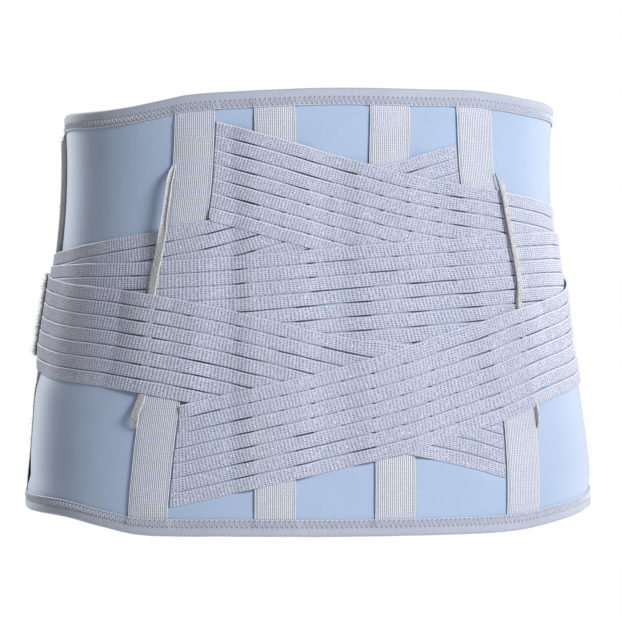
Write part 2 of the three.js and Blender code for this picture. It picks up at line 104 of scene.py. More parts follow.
# Each band: the channel it is sewn to, what it passes over, its threads and its middle by angle and
# height. The threads are by angle how far the band is stretched when worn, how many degrees its ribs
# lean from square across it, to the right at the top, and how far the ribs stand open.
STRETCH_COLUMN = 1
LEAN_COLUMN = 2
OPEN_COLUMN = 3
BAND_END_ANGLE = 117.0
INNER_CHANNELS = ("stay_channel_inner_left", "stay_channel_inner_right")
UPPER_BANDS = ("upper_band_to_right", "upper_band_to_left")
BANDS = {
    "upper_band_to_left": {
        "sewn_to": "stay_channel_outer_right",
        "over": (*INNER_CHANNELS, "stay_channel_outer_left", "front_wing_left"),
        "threads": (
            (-117, 1.14, 0, 0.7), (-62, 1.14, -2, 0.7), (-50, 1.1, -1.5, 0.8), (-37, 1.14, -6, 0.9),
            (39, 1.1, -6, 0.9),
        ),
        "path": (
            (-117, 5), (-81, 10.2), (-62, 15.6), (-45, 22.3), (-33, 28.2), (23, 62.9), (39, 73.6),
        ),
    },
    "upper_band_to_right": {
        "sewn_to": "stay_channel_outer_left",
        "over": ("upper_band_to_left", *INNER_CHANNELS, "stay_channel_outer_right", "front_wing_right"),
        "threads": (
            (-36, 1.0, 5, 0.55), (-16, 1.04, 2, 0.62), (3, 1.05, 1.5, 0.75), (26, 1.12, 7, 1),
            (38, 1.13, 0, 1), (60, 1.13, 0, 0.7), (117, 1.13, 0, 0.6),
        ),
        "path": (
            (-36, 86.2), (-13, 72.7), (11, 60.1), (21, 55.3), (38, 49.5), (58, 43.6), (69, 40.6),
            (95, 33), (117, 18),
        ),
    },
    "waist_band": {
        "sewn_to": None,
        "over": (*UPPER_BANDS, *CHANNEL_PATHS, "front_wing_left", "front_wing_right"),
        "threads": (
            (-117, 1.23, 0, 0.7), (-50, 1.23, 0, 0.8), (-28, 1.23, 0, 0.9), (-6, 1.23, -8, 0.9),
            (12, 1.21, -9, 1.1), (23, 1.2, -10, 1.35), (41, 1.23, -13, 1.4), (60, 1.23, -8, 0.8),
            (117, 1.23, 0, 0.7),
        ),
        "path": (
            (-117, 0.5), (-67, 1.4), (-48, 2.2), (-4.5, 9.5), (37, 16.4), (69, 21.8), (95, 20), (117, 12),
        ),
    },
    "lower_band_to_left": {
        "sewn_to": "stay_channel_outer_right",
        "over": (
            "waist_band", *UPPER_BANDS, "keeper_left", *INNER_CHANNELS, "stay_channel_outer_left",
            "front_wing_left",
        ),
        "threads": (
            (-117, 1.18, 0, 0.7), (-66, 1.18, 0, 0.75), (-57, 1.17, 6, 0.8), (-41, 1.15, -1, 1),
            (-21, 1.15, -10, 1), (47, 1.15, -8, 0.9),
        ),
        "path": (
            (-117, 3), (-95, -4.5), (-78, -9.9), (-59, -14.4), (-41, -22.2), (-14.6, -36.4),
            (19.5, -53.6), (38, -63.4), (47, -70.2),
        ),
    },
    "lower_band_to_right": {
        "sewn_to": "stay_channel_outer_left",
        "over": (
            "lower_band_to_left", "waist_band", *UPPER_BANDS, "keeper_right", *INNER_CHANNELS,
            "stay_channel_outer_right", "front_wing_right",
        ),
        "threads": (
            (-43, 1.08, -4, 0.8), (-28, 1.09, -4, 0.8), (-13, 1.17, -3, 0.8), (8, 1.19, -4, 0.8),
            (23, 1.2, 9, 0.9), (38, 1.28, 6, 1), (55, 1.15, 2, 0.75), (117, 1.15, 0, 0.6),
        ),
        "path": (
            (-43, -85.8), (-23.4, -74.4), (1.5, -62.5), (20, -52.9), (41, -38.3), (56, -25.5),
            (73.5, -15.6), (95, -5), (117, 4),
        ),
    },
}

# Band edges that are pulled out of line where bands cross: by angle, how far an upper edge is raised
# or, where that is below zero, how far a lower edge is drawn down. The strips farther in follow less
# and less, by a power.
PULLED_EDGES = {
    "waist_band": ((4, 0), (11, -0.4), (17, -1.4), (23, -1.4), (34, -0.8), (45, 0)),
    "lower_band_to_left": (
        (-12, 0), (-4, 0.6), (4, 1.8), (10, 4.4), (16, 5.6), (23, 6), (31, 4.5), (40, 1), (46, 0),
    ),
    "lower_band_to_right": ((2, 0), (10, 0.8), (20, 1.6), (38, 2.4), (50, 1.4), (62, 0)),
}
PULL_FADE = 7

# Bands that hang a little loose: by angle, how far clear they stand.
BAND_SLACK = {
    "waist_band": ((54, 0), (68, 0.4), (80, 1), (90, 1.2), (117, 1.2)),
    "lower_band_to_right": ((56, 0), (70, 0.5), (84, 1.2), (117, 1.2)),
}

# How far the soft panel swells out or draws in at each side, by height. It swells in full beyond the
# second of two angles, and not at all next to the lower binding.
SIDE_SWELL = {
    -1: (
        (-125, -1.4), (-104, -1.6), (-95, -0.9), (-88, -0.2), (-80, 0.2), (-72, 0.7), (-65, 1.1), (-57, 1.8),
        (-49, 2.3), (-42, 1.6), (-34, 0.4), (-26, 0),
    ),
    1: ((-125, 1.5), (-60, 1.5), (-48, 1.7), (-36, 1.8), (-24, 1.5), (-14, 0.8), (-6, 0)),
}
SWELL_ANGLES = (56.0, 80.0)
SWELL_FROM_BINDING = (0.5, 10.0)

# Keepers: what each passes over, its middle by height and angle, and by height how far it stands
# clear, how far it is turned on edge and how far its edges curl outwards, or inwards where that is
# below zero, both in degrees. The ridge is where across its half width it bends most, and how softly;
# shaded is the share of its width that lies in the hollow of the fold and gets painted shade, and
# gathered is the share of the tape's width that is left where it is drawn together.
KEEPERS = {
    "keeper_left": {
        "over": ("waist_band", "upper_band_to_left"),
        "path": (
            (-69, -50.9), (-60, -50.6), (-50, -50), (15, -49.2), (36, -48.1), (52, -47.2), (75, -46.2),
            (91, -45.4),
        ),
        "slack": (
            (-69, 0.1), (-66, 2.4), (-60, 5), (-54, 3.4), (-46, 0.6), (-40, 0.1), (12, 0.1), (24, 0.8),
            (40, 1.8), (52, 3.2), (62, 4.4), (72, 5), (80, 4.8), (86, 3), (91, 0.1),
        ),
        "turn": ((-69, 20), (-60, 6), (34, 8), (50, -4), (91, -12)),
        "curl": ((-69, 0), (36, 0), (48, 70), (58, 180), (84, 190), (91, 120)),
        "ridge": (0.0, 6.0),
        "shaded": 0.0,
        "gathered": 1.0,
    },
    "keeper_right": {
        "over": ("waist_band", "upper_band_to_right"),
        "path": (
            (-70, 54.9), (-55, 54.7), (8, 52.8), (45, 51.3), (64, 50.3), (76, 49.5), (86, 48.5),
        ),
        "slack": (
            (-70, 0.1), (-66, 0.6), (-60, 0.8), (-54, 0.4), (-48, 0.2), (-4, 0.2), (40, 0.4), (80, 0.6),
            (86, 0.1),
        ),
        "turn": ((-70, 84), (-58, 92), (-50, 4), (5, 4), (18, 50), (40, 56), (52, 50), (86, 50)),
        "curl": ((-70, 0), (5, 0), (18, -90), (40, -95), (52, -80), (86, -80)),
        "ridge": (-0.15, 0.15),
        "shaded": 0.34,
        "gathered": 0.82,
    },
}

# Stations along a keeper, and how far and in how many steps its climb over an edge is evened out.
KEEPER_STATIONS = 241
KEEPER_EASE = 10.0
KEEPER_EASE_STEPS = 9

# The plain front: each wing's and tab's first and last angle, and what it lies on.
WINGS = {
    "front_wing_right": {"from": 93.0, "to": 195.0, "over": ()},
    "front_wing_left": {"from": -198.0, "to": -93.0, "over": ("front_wing_right",)},
}
# By height, the share of its thickness that a wing keeps where the bands press on it.
WING_PRESSED = ((-125, 0.12), (-60, 0.15), (-44, 0.3), (-30, 1.0), (125, 1.0))
TABS = {
    "pull_tab_left": {
        "from": -160.0, "to": -94.0, "height": -0.5,
        "over": ("front_wing_left", "upper_band_to_left", "waist_band", "lower_band_to_left"),
    },
    "pull_tab_right": {
        "from": 94.0, "to": 160.0, "height": 11.0,
        "over": ("front_wing_right", "upper_band_to_right", "waist_band", "lower_band_to_right"),
    },
}

# What each piece lies on.
LAID_OVER = {
    name: row["over"] for table in (BANDS, KEEPERS, WINGS, TABS) for name, row in table.items()
}

# Cloth lies this far clear of what is under it. Beyond the edge of a lower piece, a piece stays
# lifted for the first distance and settles over the second. Two lifts that meet blend over a height.
LAYER_GAP = 0.08
LIFT_OVER = {
    "band": (0.5, 14.0),
    "channel": (0.5, 18.0),
    "keeper": (1.0, 30.0),
    "wing": (1.0, 40.0),
}
LIFT_BLEND = 0.6
LEAST_BLEND = 0.001

CLOTH_MAP = "cloth"
OPEN_MAP = "open"

# The stage, in metres: each lamp's degrees round the body and up, distance, size and colour, the
# camera's sensor in millimetres and how far to the right of the body's axis it looks, and the floor.
LAMPS = {
    "key": (30, 24, 2.3, 0.7, (0.94, 0.95, 0.96)),
    "rim": (-148, 24, 2.2, 0.8, (0.94, 0.95, 0.96)),
    "side": (120, 12, 2.2, 0.8, (1.0, 0.95, 0.85)),
}
SENSOR_WIDTH = 36
AIM_RIGHT_OF_AXIS = 0.0016
FLOOR_RADIUS = 2.6
FLOOR_CORNERS = 96


def length(name, description, default, low=0.0001, high=1.0):
    return FloatProperty(
        name=name, description=description, default=default, min=low, max=high,
        subtype="DISTANCE", unit="LENGTH", precision=5,
    )


def colour(name, description, default):
    return FloatVectorProperty(
        name=name, description=description, default=default, min=0, max=1, size=3, subtype="COLOR",
    )


def power(name, description, default):
    return FloatProperty(name=name, description=description, default=default, min=0, unit="POWER")


class BracePanelSettings(bpy.types.PropertyGroup):
    """Sizes and colour of the soft back panel"""

    thickness: length("Thickness", "Wall of the panel, knit and foam together", 0.003)
    colour: colour("Colour", "Brushed knit", (0.415, 0.522, 0.715))


class BraceBindingSettings(bpy.types.PropertyGroup):
    """Sizes and colours of the tapes folded over both edges"""

    width: length("Width", "Height of each flap of the folded tape", 0.0105)
    thickness: length("Thickness", "Thickness of the tape", 0.0009)
    stitch_pitch: length("Stitch pitch", "Length of one zigzag", 0.003)
    stitch_height: length("Stitch height", "Height of the zigzag", 0.0036)
    thread: length("Thread", "Thickness of the sewing thread", 0.0006)
    colour: colour("Colour", "Folded tape", (0.455, 0.49, 0.595))
    thread_colour: colour("Thread colour", "Sewing thread", (0.72, 0.75, 0.85))


class BraceChannelSettings(bpy.types.PropertyGroup):
    """Sizes and colours of the stay channels"""

    width: length("Width", "Width of the tape", 0.0245)
    thickness: length("Thickness", "Thickness over the stay", 0.0022)
    edge_thickness: length("Edge thickness", "Thickness beside the selvedge", 0.0016)
    edge_lift: length("Edge lift", "How far the edges stand clear of the panel", 0.001)
    selvedge: length("Selvedge", "Thickness of the corded edge", 0.0007)
    line_pitch: length("Line pitch", "From one woven line to the next", 0.00122)
    colour: colour("Colour", "Woven tape", (0.455, 0.475, 0.552))
    selvedge_colour: colour("Selvedge colour", "Corded edges", (0.86, 0.88, 0.94))


class BraceBandSettings(bpy.types.PropertyGroup):
    """Sizes and colours of the slit elastic bands"""

    width: length("Width", "Width of a band", 0.059)
    thickness: length("Thickness", "Thickness of the elastic without its ribs", 0.0006)
    strips: IntProperty(name="Strips", description="Strips in a band", default=7, min=1, max=15)
    slit: length("Slit", "Open width between two strips", 0.0007)
    rib_pitch: length("Rib pitch", "From one rib to the next in the slack elastic", 0.0019)
    rib_height: length("Rib height", "How far a rib stands proud", 0.00018)
    dot_pitch: length("Dot pitch", "From one gap in the weave to the next along a rib", 0.00125)
    rib_colour: colour("Rib colour", "Ribs of the elastic", (0.495, 0.517, 0.635))
    valley_colour: colour("Valley colour", "Between the ribs", (0.431, 0.453, 0.571))
    dot_colour: colour("Dot colour", "Gaps in the weave", (0.09, 0.1, 0.16))
    # This colour is a painted highlight along the upper edge of each strip, where light catches it.
    edge_highlight_colour: colour("Edge colour", "Smooth thread along the upper edge of a strip", (0.76, 0.79, 0.9))


class BraceKeeperSettings(bpy.types.PropertyGroup):
    """Sizes and colour of the narrow keeper tapes"""

    width: length("Width", "Width of the tape", 0.0056)
    thickness: length("Thickness", "Thickness of the tape", 0.0009)
    colour: colour("Colour", "Brushed tape", (0.5, 0.5, 0.51))


class BracePileSettings(bpy.types.PropertyGroup):
    """Sizes and colours of the front wings and pull tabs"""

    wing_thickness: length("Wing thickness", "Wall of a wing without its pile", 0.0034)
    tab_thickness: length("Tab thickness", "Wall of a tab without its pile", 0.0011)
    tab_height: length("Tab height", "Height of a tab", 0.052)
    tab_corner: length("Tab corner", "Corner radius of a tab", 0.005)
    wing_fibre: length("Wing fibre length", "Length of a pile fibre on a wing", 0.0012)
    tab_fibre: length("Tab fibre length", "Length of a pile fibre on a tab", 0.0024)
    wing_colour: colour("Wing colour", "Cloth and pile of a wing", (0.6, 0.595, 0.61))
    tab_colour: colour("Tab colour", "Pile of a tab", (0.55, 0.55, 0.56))
    # Near black as painted shade: the tab's sheet gives the dark line of shadow along the tab's edge.
    tab_shade_colour: colour("Backing colour", "Cloth that the pile of a tab grows from", (0.11, 0.11, 0.12))


class BraceStageSettings(bpy.types.PropertyGroup):
    """Camera, floor and light"""

    camera_angle: FloatProperty(
        name="Camera angle", description="Round the body from the middle of the back",
        default=math.radians(-8), subtype="ANGLE", unit="ROTATION",
    )
    camera_distance: length("Camera distance", "From the body's axis", 1.9, 0.5, 10)
    camera_height: length("Camera height", "Above the middle of the back", 0.0018, -1, 1)
    focal_length: FloatProperty(
        name="Focal length", description="On a 36 mm wide sensor, in millimetres",
        default=172.3, min=20, max=400,
    )
    floor_drop: length("Floor drop", "From the middle of the back to the floor", 0.9, 0.2, 2)
    key_power: power("Key power", "Main light", 46)
    rim_power: power("Rim power", "Light from behind on the left", 53)
    side_power: power("Side power", "Light from the right side", 29)
    sky: FloatProperty(name="Sky", description="Strength of the even light all round", default=0.18, min=0)
    floor_colour: colour("Floor colour", "Plain pale floor", (0.85, 0.85, 0.85))


class BraceSettings(bpy.types.PropertyGroup):
    """Everything that a user may change"""

    panel: PointerProperty(type=BracePanelSettings)
    binding: PointerProperty(type=BraceBindingSettings)
    channel: PointerProperty(type=BraceChannelSettings)
    band: PointerProperty(type=BraceBandSettings)
    keeper: PointerProperty(type=BraceKeeperSettings)
    pile: PointerProperty(type=BracePileSettings)
    stage: PointerProperty(type=BraceStageSettings)


def settings(part):
    """The settings of one part, with its lengths in millimetres."""
    group = getattr(bpy.context.scene.brace, part)
    values = {name: getattr(group, name) for name in group.__annotations__}
    for name, value in values.items():
        if group.bl_rna.properties[name].unit == "LENGTH":
            values[name] = value / MM
    return SimpleNamespace(**values)


def read_rows(rows, at, column=1, beyond=False):
    """Read a table along its first column with a smooth curve through its rows, and straight on
    beyond its ends where that is asked for."""
    table = np.array(rows, float)
    places, values = table[:, 0], table[:, column]
    order = np.arange(len(places))
    ahead, behind = np.minimum(order + 1, order[-1]), np.maximum(order - 1, 0)
    slopes = (values[ahead] - values[behind]) / (places[ahead] - places[behind])
    at = np.asarray(at, float)
    inside = np.clip(at, places[0], places[-1])
    row = np.clip(np.searchsorted(places, inside, side="right") - 1, 0, len(places) - 2)
    span = places[row + 1] - places[row]
    t = (inside - places[row]) / span
    curve = (1 + 2 * t) * (1 - t) ** 2 * values[row] + t * t * (3 - 2 * t) * values[row + 1]
    curve = curve + t * (1 - t) ** 2 * span * slopes[row] + t * t * (t - 1) * span * slopes[row + 1]
    if beyond:
        curve = curve + (at - inside) * np.where(at < inside, slopes[0], slopes[-1])
    return curve


def smooth_rise(low, high, value):
    t = np.clip((value - low) / (high - low), 0, 1)
    return t * t * (3 - 2 * t)


def body_half_sizes(height):
    turn = (WAIST["height"] - height) / (WAIST["height"] - HIP["height"])
    share = 0.5 - 0.5 * np.cos(np.pi * turn)
    return [WAIST[size] + (HIP[size] - WAIST[size]) * share for size in ("half_width", "half_depth")]


def body_point(angle, height, stand_off):
    """Points at a stand-off from the body, pushed out level along the section's normal."""
    turn, height, stand_off = np.broadcast_arrays(np.radians(angle), height, stand_off)
    half_width, half_depth = body_half_sizes(height)
    across, deep = np.sin(turn), np.cos(turn)
    reach = np.abs(across / half_width) ** SECTION_POWER + np.abs(deep / half_depth) ** SECTION_POWER
    radius = reach ** (-1 / SECTION_POWER)
    x, y = radius * across, -radius * deep
    steep_x = np.sign(x) * np.abs(x) ** (SECTION_POWER - 1) / half_width ** SECTION_POWER
    steep_y = np.sign(y) * np.abs(y) ** (SECTION_POWER - 1) / half_depth ** SECTION_POWER
    steep = np.hypot(steep_x, steep_y)
    return np.stack([x + stand_off * steep_x / steep, y + stand_off * steep_y / steep, height], axis=-1)


def point_and_way_out(angle, height, stand_off):
    """Points at a stand-off from the body, and the step of one millimetre outwards at each."""
    point = body_point(angle, height, stand_off)
    return point, body_point(angle, height, stand_off + 1) - point


def mm_per_degree(angle, height):
    half_span = 0.5
    step = body_point(angle + half_span, height, 0.0) - body_point(angle - half_span, height, 0.0)
    return np.linalg.norm(step, axis=-1)


def distances_along(angles, heights, stand_off=0.0):
    """Distance from the first point to each of the others, at a stand-off from the body."""
    steps = np.diff(body_point(angles, heights, stand_off), axis=0)
    return np.concatenate([[0], np.cumsum(np.linalg.norm(steps, axis=1))])


def arc_between(first, last, height):
    return float(distances_along(np.linspace(first, last, 301), height)[-1])


def top_edge(angle):
    return read_rows(EDGE_ROWS, angle, TOP_COLUMN)


def bottom_edge(angle):
    return read_rows(EDGE_ROWS, angle, BOTTOM_COLUMN)


def panel_swell(angle, height):
    """How far the panel's outer face stands out from its even form."""
    swell = np.where(angle < 0, read_rows(SIDE_SWELL[-1], height), read_rows(SIDE_SWELL[1], height))
    from_binding = height - bottom_edge(angle) - settings("binding").width
    return swell * smooth_rise(*SWELL_ANGLES, np.abs(angle)) * smooth_rise(*SWELL_FROM_BINDING, from_binding)


def channel_angle(name, height):
    return read_rows(CHANNEL_PATHS[name], height)


def band_height(name, angle):
    return read_rows(BANDS[name]["path"], angle, beyond=True)


def band_slope(name, angle):
    """Rise over run along the surface."""
    reach = 2.0
    rise = band_height(name, angle + reach) - band_height(name, angle - reach)
    return rise / (2 * reach * mm_per_degree(angle, band_height(name, angle)))


def side_of(channel):
    return math.copysign(1, CHANNEL_PATHS[channel][0][1])


def depth_inside(name, angle, height):
    """How far inside a piece's outline a place lies. Outside it is negative."""
    per_degree = mm_per_degree(angle, height)
    if name in CHANNEL_PATHS:
        return settings("channel").width / 2 - np.abs(angle - channel_angle(name, height)) * per_degree
    if name in KEEPERS:
        path = KEEPERS[name]["path"]
        beyond = np.maximum(path[0][0] - height, height - path[-1][0])
        offset = np.abs(angle - read_rows(path, height)) * per_degree
        return np.minimum(settings("keeper").width / 2 - offset, -beyond)
    if name in BANDS:
        sewn_to = BANDS[name]["sewn_to"]
        half = settings("band").width / 2 * np.hypot(1, band_slope(name, angle))
        depth = half - np.abs(height - band_height(name, angle))
        if sewn_to:
            side = side_of(sewn_to)
            edge = channel_angle(sewn_to, height) * side
            from_channel = (edge - side * angle) * per_degree - settings("channel").width / 2
            depth = np.minimum(depth, from_channel)
        return np.minimum(depth, (BAND_END_ANGLE - np.abs(angle)) * per_degree)
    first, last = WINGS[name]["from"], WINGS[name]["to"]
    turns = [np.minimum(angle + turn - first, last - angle - turn) for turn in (-FULL_TURN, 0, FULL_TURN)]
    return np.max(turns, axis=0) * per_degree


def kind_of(name):
    kinds = {"channel": CHANNEL_PATHS, "keeper": KEEPERS, "band": BANDS, "wing": WINGS}
    return next(kind for kind, table in kinds.items() if name in table)


def full_thickness(kind, height):
    if kind == "wing":
        return settings("pile").wing_thickness * read_rows(WING_PRESSED, height)
    chosen = settings(kind)
    return chosen.thickness + (chosen.rib_height if kind == "band" else 0)


def resting_stand_off(name, angle, height):
    """The stand-off of a piece's inner face: it rests on whatever lies under it at that place."""
    stand_off = LAYER_GAP + panel_swell(angle, height)
    for lower in LAID_OVER.get(name, ()):
        kind = kind_of(lower)
        margin, settle = LIFT_OVER[kind]
        lift = smooth_rise(-margin - settle, -margin, depth_inside(lower, angle, height))
        if not np.any(lift > 0):
            continue
        if kind == "keeper":
            base = np.interp(height, *keeper_line(lower))
        else:
            base = resting_stand_off(lower, angle, height)
        level = lift * (base + full_thickness(kind, height) + LAYER_GAP)
        blend = LIFT_BLEND * lift + LEAST_BLEND
        near = np.maximum(blend - np.abs(stand_off - level), 0)
        stand_off = np.maximum(stand_off, level) + near * near / (4 * blend)
    if name in BAND_SLACK:
        stand_off = stand_off + read_rows(BAND_SLACK[name], angle)
    return stand_off


def keeper_line(name):
    """Heights along a keeper and its stand-off there, eased over the edges that it crosses."""
    path = KEEPERS[name]["path"]
    height = np.linspace(path[0][0], path[-1][0], KEEPER_STATIONS)
    middle = read_rows(path, height)
    half = settings("keeper").width / 2 / mm_per_degree(middle, height)
    level = np.max([resting_stand_off(name, middle + side * half, height) for side in (-1, 0, 1)], axis=0)
    shifts = np.linspace(-KEEPER_EASE, KEEPER_EASE, KEEPER_EASE_STEPS)
    eased = np.mean([np.interp(height + shift, height, level) for shift in shifts], axis=0)
    return height, eased + read_rows(KEEPERS[name]["slack"], height)


def slow_waves(along, draw, wavelengths, amount):
    """A smooth wander along a length, the same for the same draws."""
    wave = np.zeros_like(np.asarray(along, float))
    for wavelength in wavelengths:
        wave = wave + np.sin(2 * np.pi * (along / wavelength + draw.random()))
    return amount * wave / len(wavelengths)


def paired(along, across):
    """Cloth coordinates from distances along and across, spread over each other."""
    return np.stack(np.broadcast_arrays(along, across), axis=-1)


def face_and_back(face, back):
    """A ring that runs over the face of a sheet and returns behind it."""
    return np.concatenate([face, back[:, ::-1]], axis=1)


def unit(steps):
    return steps / np.linalg.norm(steps, axis=1, keepdims=True)


class Parts:
    """Closed bodies gathered for one piece, in millimetres, with their cloth coordinates."""

    def __init__(self):
        self.points, self.faces, self.cloth, self.open, self.count = [], [], [], [], 0

    def add(self, points, faces, cloth):
        self.points.append(points)
        self.cloth.append(cloth)
        self.faces.extend([[corner + self.count for corner in face] for face in faces])
        self.count += len(points)

    def sweep(self, stations, cloth):
        """A closed body from sections: stations is (along, round the section, xyz)."""
        along, around = stations.shape[:2]
        index = np.arange(along * around).reshape(along, around)
        turned = np.roll(index, -1, axis=1)
        quads = np.stack([index[:-1], turned[:-1], turned[1:], index[1:]], axis=-1).reshape(-1, 4)
        points = stations.reshape(-1, 3)
        a, b, c, d = np.moveaxis(points[quads], 1, 0)
        volume = np.einsum("ij,ij->", a, np.cross(b, c)) + np.einsum("ij,ij->", a, np.cross(c, d))
        faces = quads.tolist() + [index[0][::-1].tolist(), index[-1].tolist()]
        if volume < 0:
            faces = [face[::-1] for face in faces]
        self.add(points, faces, cloth.reshape(-1, 2))

    def spikes(self, roots, tips, width, cloth):
        """Three-sided fibres from each root to its tip."""
        nearly_upright = 0.9
        lean = unit(tips - roots)
        guide = np.where(np.abs(lean[:, 2:3]) < nearly_upright, [[0.0, 0.0, 1.0]], [[1.0, 0.0, 0.0]])
        side = unit(np.cross(lean, guide))
        front = np.cross(lean, side)
        turns = np.radians([0, 120, 240])
        ring = [roots + width / 2 * (np.cos(turn) * side + np.sin(turn) * front) for turn in turns]
        points = np.stack([*ring, tips], axis=1).reshape(-1, 3)
        first = np.arange(len(roots))[:, None] * 4
        pattern = [[0, 1, 3], [1, 2, 3], [2, 0, 3], [0, 2, 1]]
        faces = np.concatenate([first + np.array(face) for face in pattern])
        self.add(points, faces.tolist(), np.repeat(cloth, 4, axis=0))

    def build(self, name, material, slot, node=None):
        """One smooth object on the part's only body. It takes the place of a node if one is given."""
        mesh = bpy.data.meshes.new(name)
        mesh.from_pydata(np.concatenate(self.points) * MM, [], self.faces)
        corners = np.empty(len(mesh.loops), np.int32)
        mesh.loops.foreach_get("vertex_index", corners)
        for map_name, places in ((CLOTH_MAP, self.cloth), (OPEN_MAP, self.open)):
            if places:
                layer = mesh.uv_layers.new(name=map_name)
                layer.data.foreach_set("uv", np.concatenate(places)[corners].astype(np.float32).ravel())
        mesh.polygons.foreach_set("use_smooth", np.ones(len(mesh.polygons), bool))
        mesh.materials.append(material)
        mesh.validate()
        piece = bpy.data.objects.new(name, mesh)
        bpy.context.scene.collection.objects.link(piece)
        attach(piece, "root")
        if node:
            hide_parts(node)
        return piece


class Wiring:
    """Adds nodes to a tree and joins them up."""

    def __init__(self, tree):
        self.tree = tree

    def feed(self, socket, value):
        if isinstance(value, bpy.types.NodeSocket):
            self.tree.links.new(value, socket)
        elif value is not None:
            socket.default_value = value

    def add(self, kind, inputs=(), **values):
        node = self.tree.nodes.new(kind)
        for name, value in values.items():
            setattr(node, name, value)
        for name, value in dict(inputs).items():
            self.feed(node.inputs[name], value)
        return node

    def math(self, operation, *values):
        node = self.add("ShaderNodeMath", operation=operation)
        for socket, value in zip(node.inputs, values):
            self.feed(socket, value)
        return node.outputs[0]

    def rise(self, value, low, high):
        node = self.add("ShaderNodeMapRange", interpolation_type="SMOOTHSTEP")
        for socket, given in zip(node.inputs, (value, low, high, 0.0, 1.0)):
            self.feed(socket, given)
        return node.outputs[0]

    def blend(self, share, first, second):
        node = self.add("ShaderNodeMix", data_type="RGBA")
        self.feed(node.inputs["Factor"], share)
        self.feed(node.inputs[6], opaque(first))
        self.feed(node.inputs[7], opaque(second))
        return node.outputs[2]

    def wave(self, along, pitch):
        """One at every pitch and zero halfway between."""
        turn = self.math("MULTIPLY", self.math("DIVIDE", along, pitch), 2 * math.pi)
        return self.math("MULTIPLY_ADD", self.math("COSINE", turn), 0.5, 0.5)

    def off_from(self, value, middle):
        return self.math("ABSOLUTE", self.math("SUBTRACT", value, middle))

    def split(self, vector):
        return self.add("ShaderNodeSeparateXYZ", {"Vector": vector}).outputs

    def noise(self, scale, detail=2.0):
        place = self.add("ShaderNodeTexCoord").outputs["Object"]
        return self.add("ShaderNodeTexNoise", {"Vector": place, "Scale": scale, "Detail": detail}).outputs


def opaque(value):
    if isinstance(value, bpy.types.NodeSocket):
        return value
    return (*tuple(value)[:3], 1.0)


def scaled(tint, gain):
    return tuple(gain * part for part in tint)


FLOAT, VECTOR, COLOUR = "NodeSocketFloat", "NodeSocketVector", "NodeSocketColor"


def new_group(name, inputs, outputs):
    """An empty node group. An input is given by its kind, or by a default if it is a number."""
    group = bpy.data.node_groups.new(name, "ShaderNodeTree")
    for socket, given in inputs.items():
        kind = given if isinstance(given, str) else FLOAT
        made = group.interface.new_socket(name=socket, in_out="INPUT", socket_type=kind)
        if kind == FLOAT:
            made.default_value = given
    for socket, kind in outputs.items():
        group.interface.new_socket(name=socket, in_out="OUTPUT", socket_type=kind)
    wires = Wiring(group)
    return wires, wires.add("NodeGroupInput").outputs, wires.add("NodeGroupOutput").inputs


def effect(name, inputs, outputs):
    """Turns a function that wires up a node group into one that builds the group once and shares it."""

    def sharing(wire_up):
        def shared():
            if name not in bpy.data.node_groups:
                wire_up(*new_group(name, inputs, outputs))
            return bpy.data.node_groups[name]

        return shared

    return sharing


def wandering(wires, given):
    """The two cloth coordinates, pushed about by noise as threads are."""
    parts = wires.split(given["Cloth"])
    push = wires.split(wires.noise(given["Wander Scale"], 1.0)["Color"])
    return [
        wires.math("MULTIPLY_ADD", wires.math("SUBTRACT", push[axis], 0.5), given["Wander"], parts[axis])
        for axis in ("X", "Y")
    ]


@effect(
    "Ribbed elastic",
    {"Cloth": VECTOR, "Rib Pitch": 2.0, "Gap Pitch": 1.2, "Wander": 0.5, "Wander Scale": 600.0},
    {"Rib": FLOAT, "Row": FLOAT, "Loop": FLOAT, "Gap": FLOAT},
)
def elastic_group(wires, given, put):
    """Ribs across a strip with rows of open gaps between them, on threads that wander."""
    along, across = wandering(wires, given)
    rib, row = wires.wave(along, given["Rib Pitch"]), wires.wave(across, given["Gap Pitch"])
    valley = wires.math("POWER", wires.math("SUBTRACT", 1.0, rib), 1.6)
    both = [wires.math("MULTIPLY_ADD", part, 2.0, -1.0) for part in (rib, row)]
    wires.feed(put["Rib"], rib)
    wires.feed(put["Row"], row)
    wires.feed(put["Loop"], wires.math("MULTIPLY_ADD", wires.math("MULTIPLY", *both), 0.5, 0.5))
    wires.feed(put["Gap"], wires.math("MULTIPLY", valley, row))


@effect(
    "Plain weave",
    {"Cloth": VECTOR, "Along Pitch": 1.0, "Across Pitch": 1.0, "Wander": 0.0, "Wander Scale": 400.0},
    {"Lines": FLOAT, "Height": FLOAT, "Gap": FLOAT},
)
def weave_group(wires, given, put):
    """Plain weave: threads along and across with small gaps at the corners."""
    places = wandering(wires, given)
    along, across = wires.wave(places[0], given["Along Pitch"]), wires.wave(places[1], given["Across Pitch"])
    low = [wires.math("SUBTRACT", 1.0, part) for part in (along, across)]
    wires.feed(put["Lines"], across)
    wires.feed(put["Height"], wires.math("MAXIMUM", along, across))
    wires.feed(put["Gap"], wires.math("MULTIPLY", *low))


@effect("Brushed fibres", {"Fine Scale": 1500.0, "Coarse Scale": 60.0}, {"Fine": FLOAT, "Coarse": FLOAT})
def fuzz_group(wires, given, put):
    """Brushed fibres: fine and coarse noise over the surface."""
    for size in ("Fine", "Coarse"):
        wires.feed(put[size], wires.noise(given[size + " Scale"], 3.0)["Fac"])


@effect("Colour drift", {"Colour": COLOUR, "Mask": 0.5, "Amount": 0.1}, {"Colour": COLOUR})
def drift_group(wires, given, put):
    """Uneven dye and handling: a colour made a little lighter and darker by a mask."""
    centred = wires.math("SUBTRACT", given["Mask"], 0.5)
    gain = wires.math("MULTIPLY_ADD", centred, wires.math("MULTIPLY", given["Amount"], 2.0), 1.0)
    drifted = wires.add("ShaderNodeVectorMath", {"Scale": gain}, operation="SCALE")
    wires.feed(drifted.inputs[0], given["Colour"])
    wires.feed(put["Colour"], drifted.outputs[0])


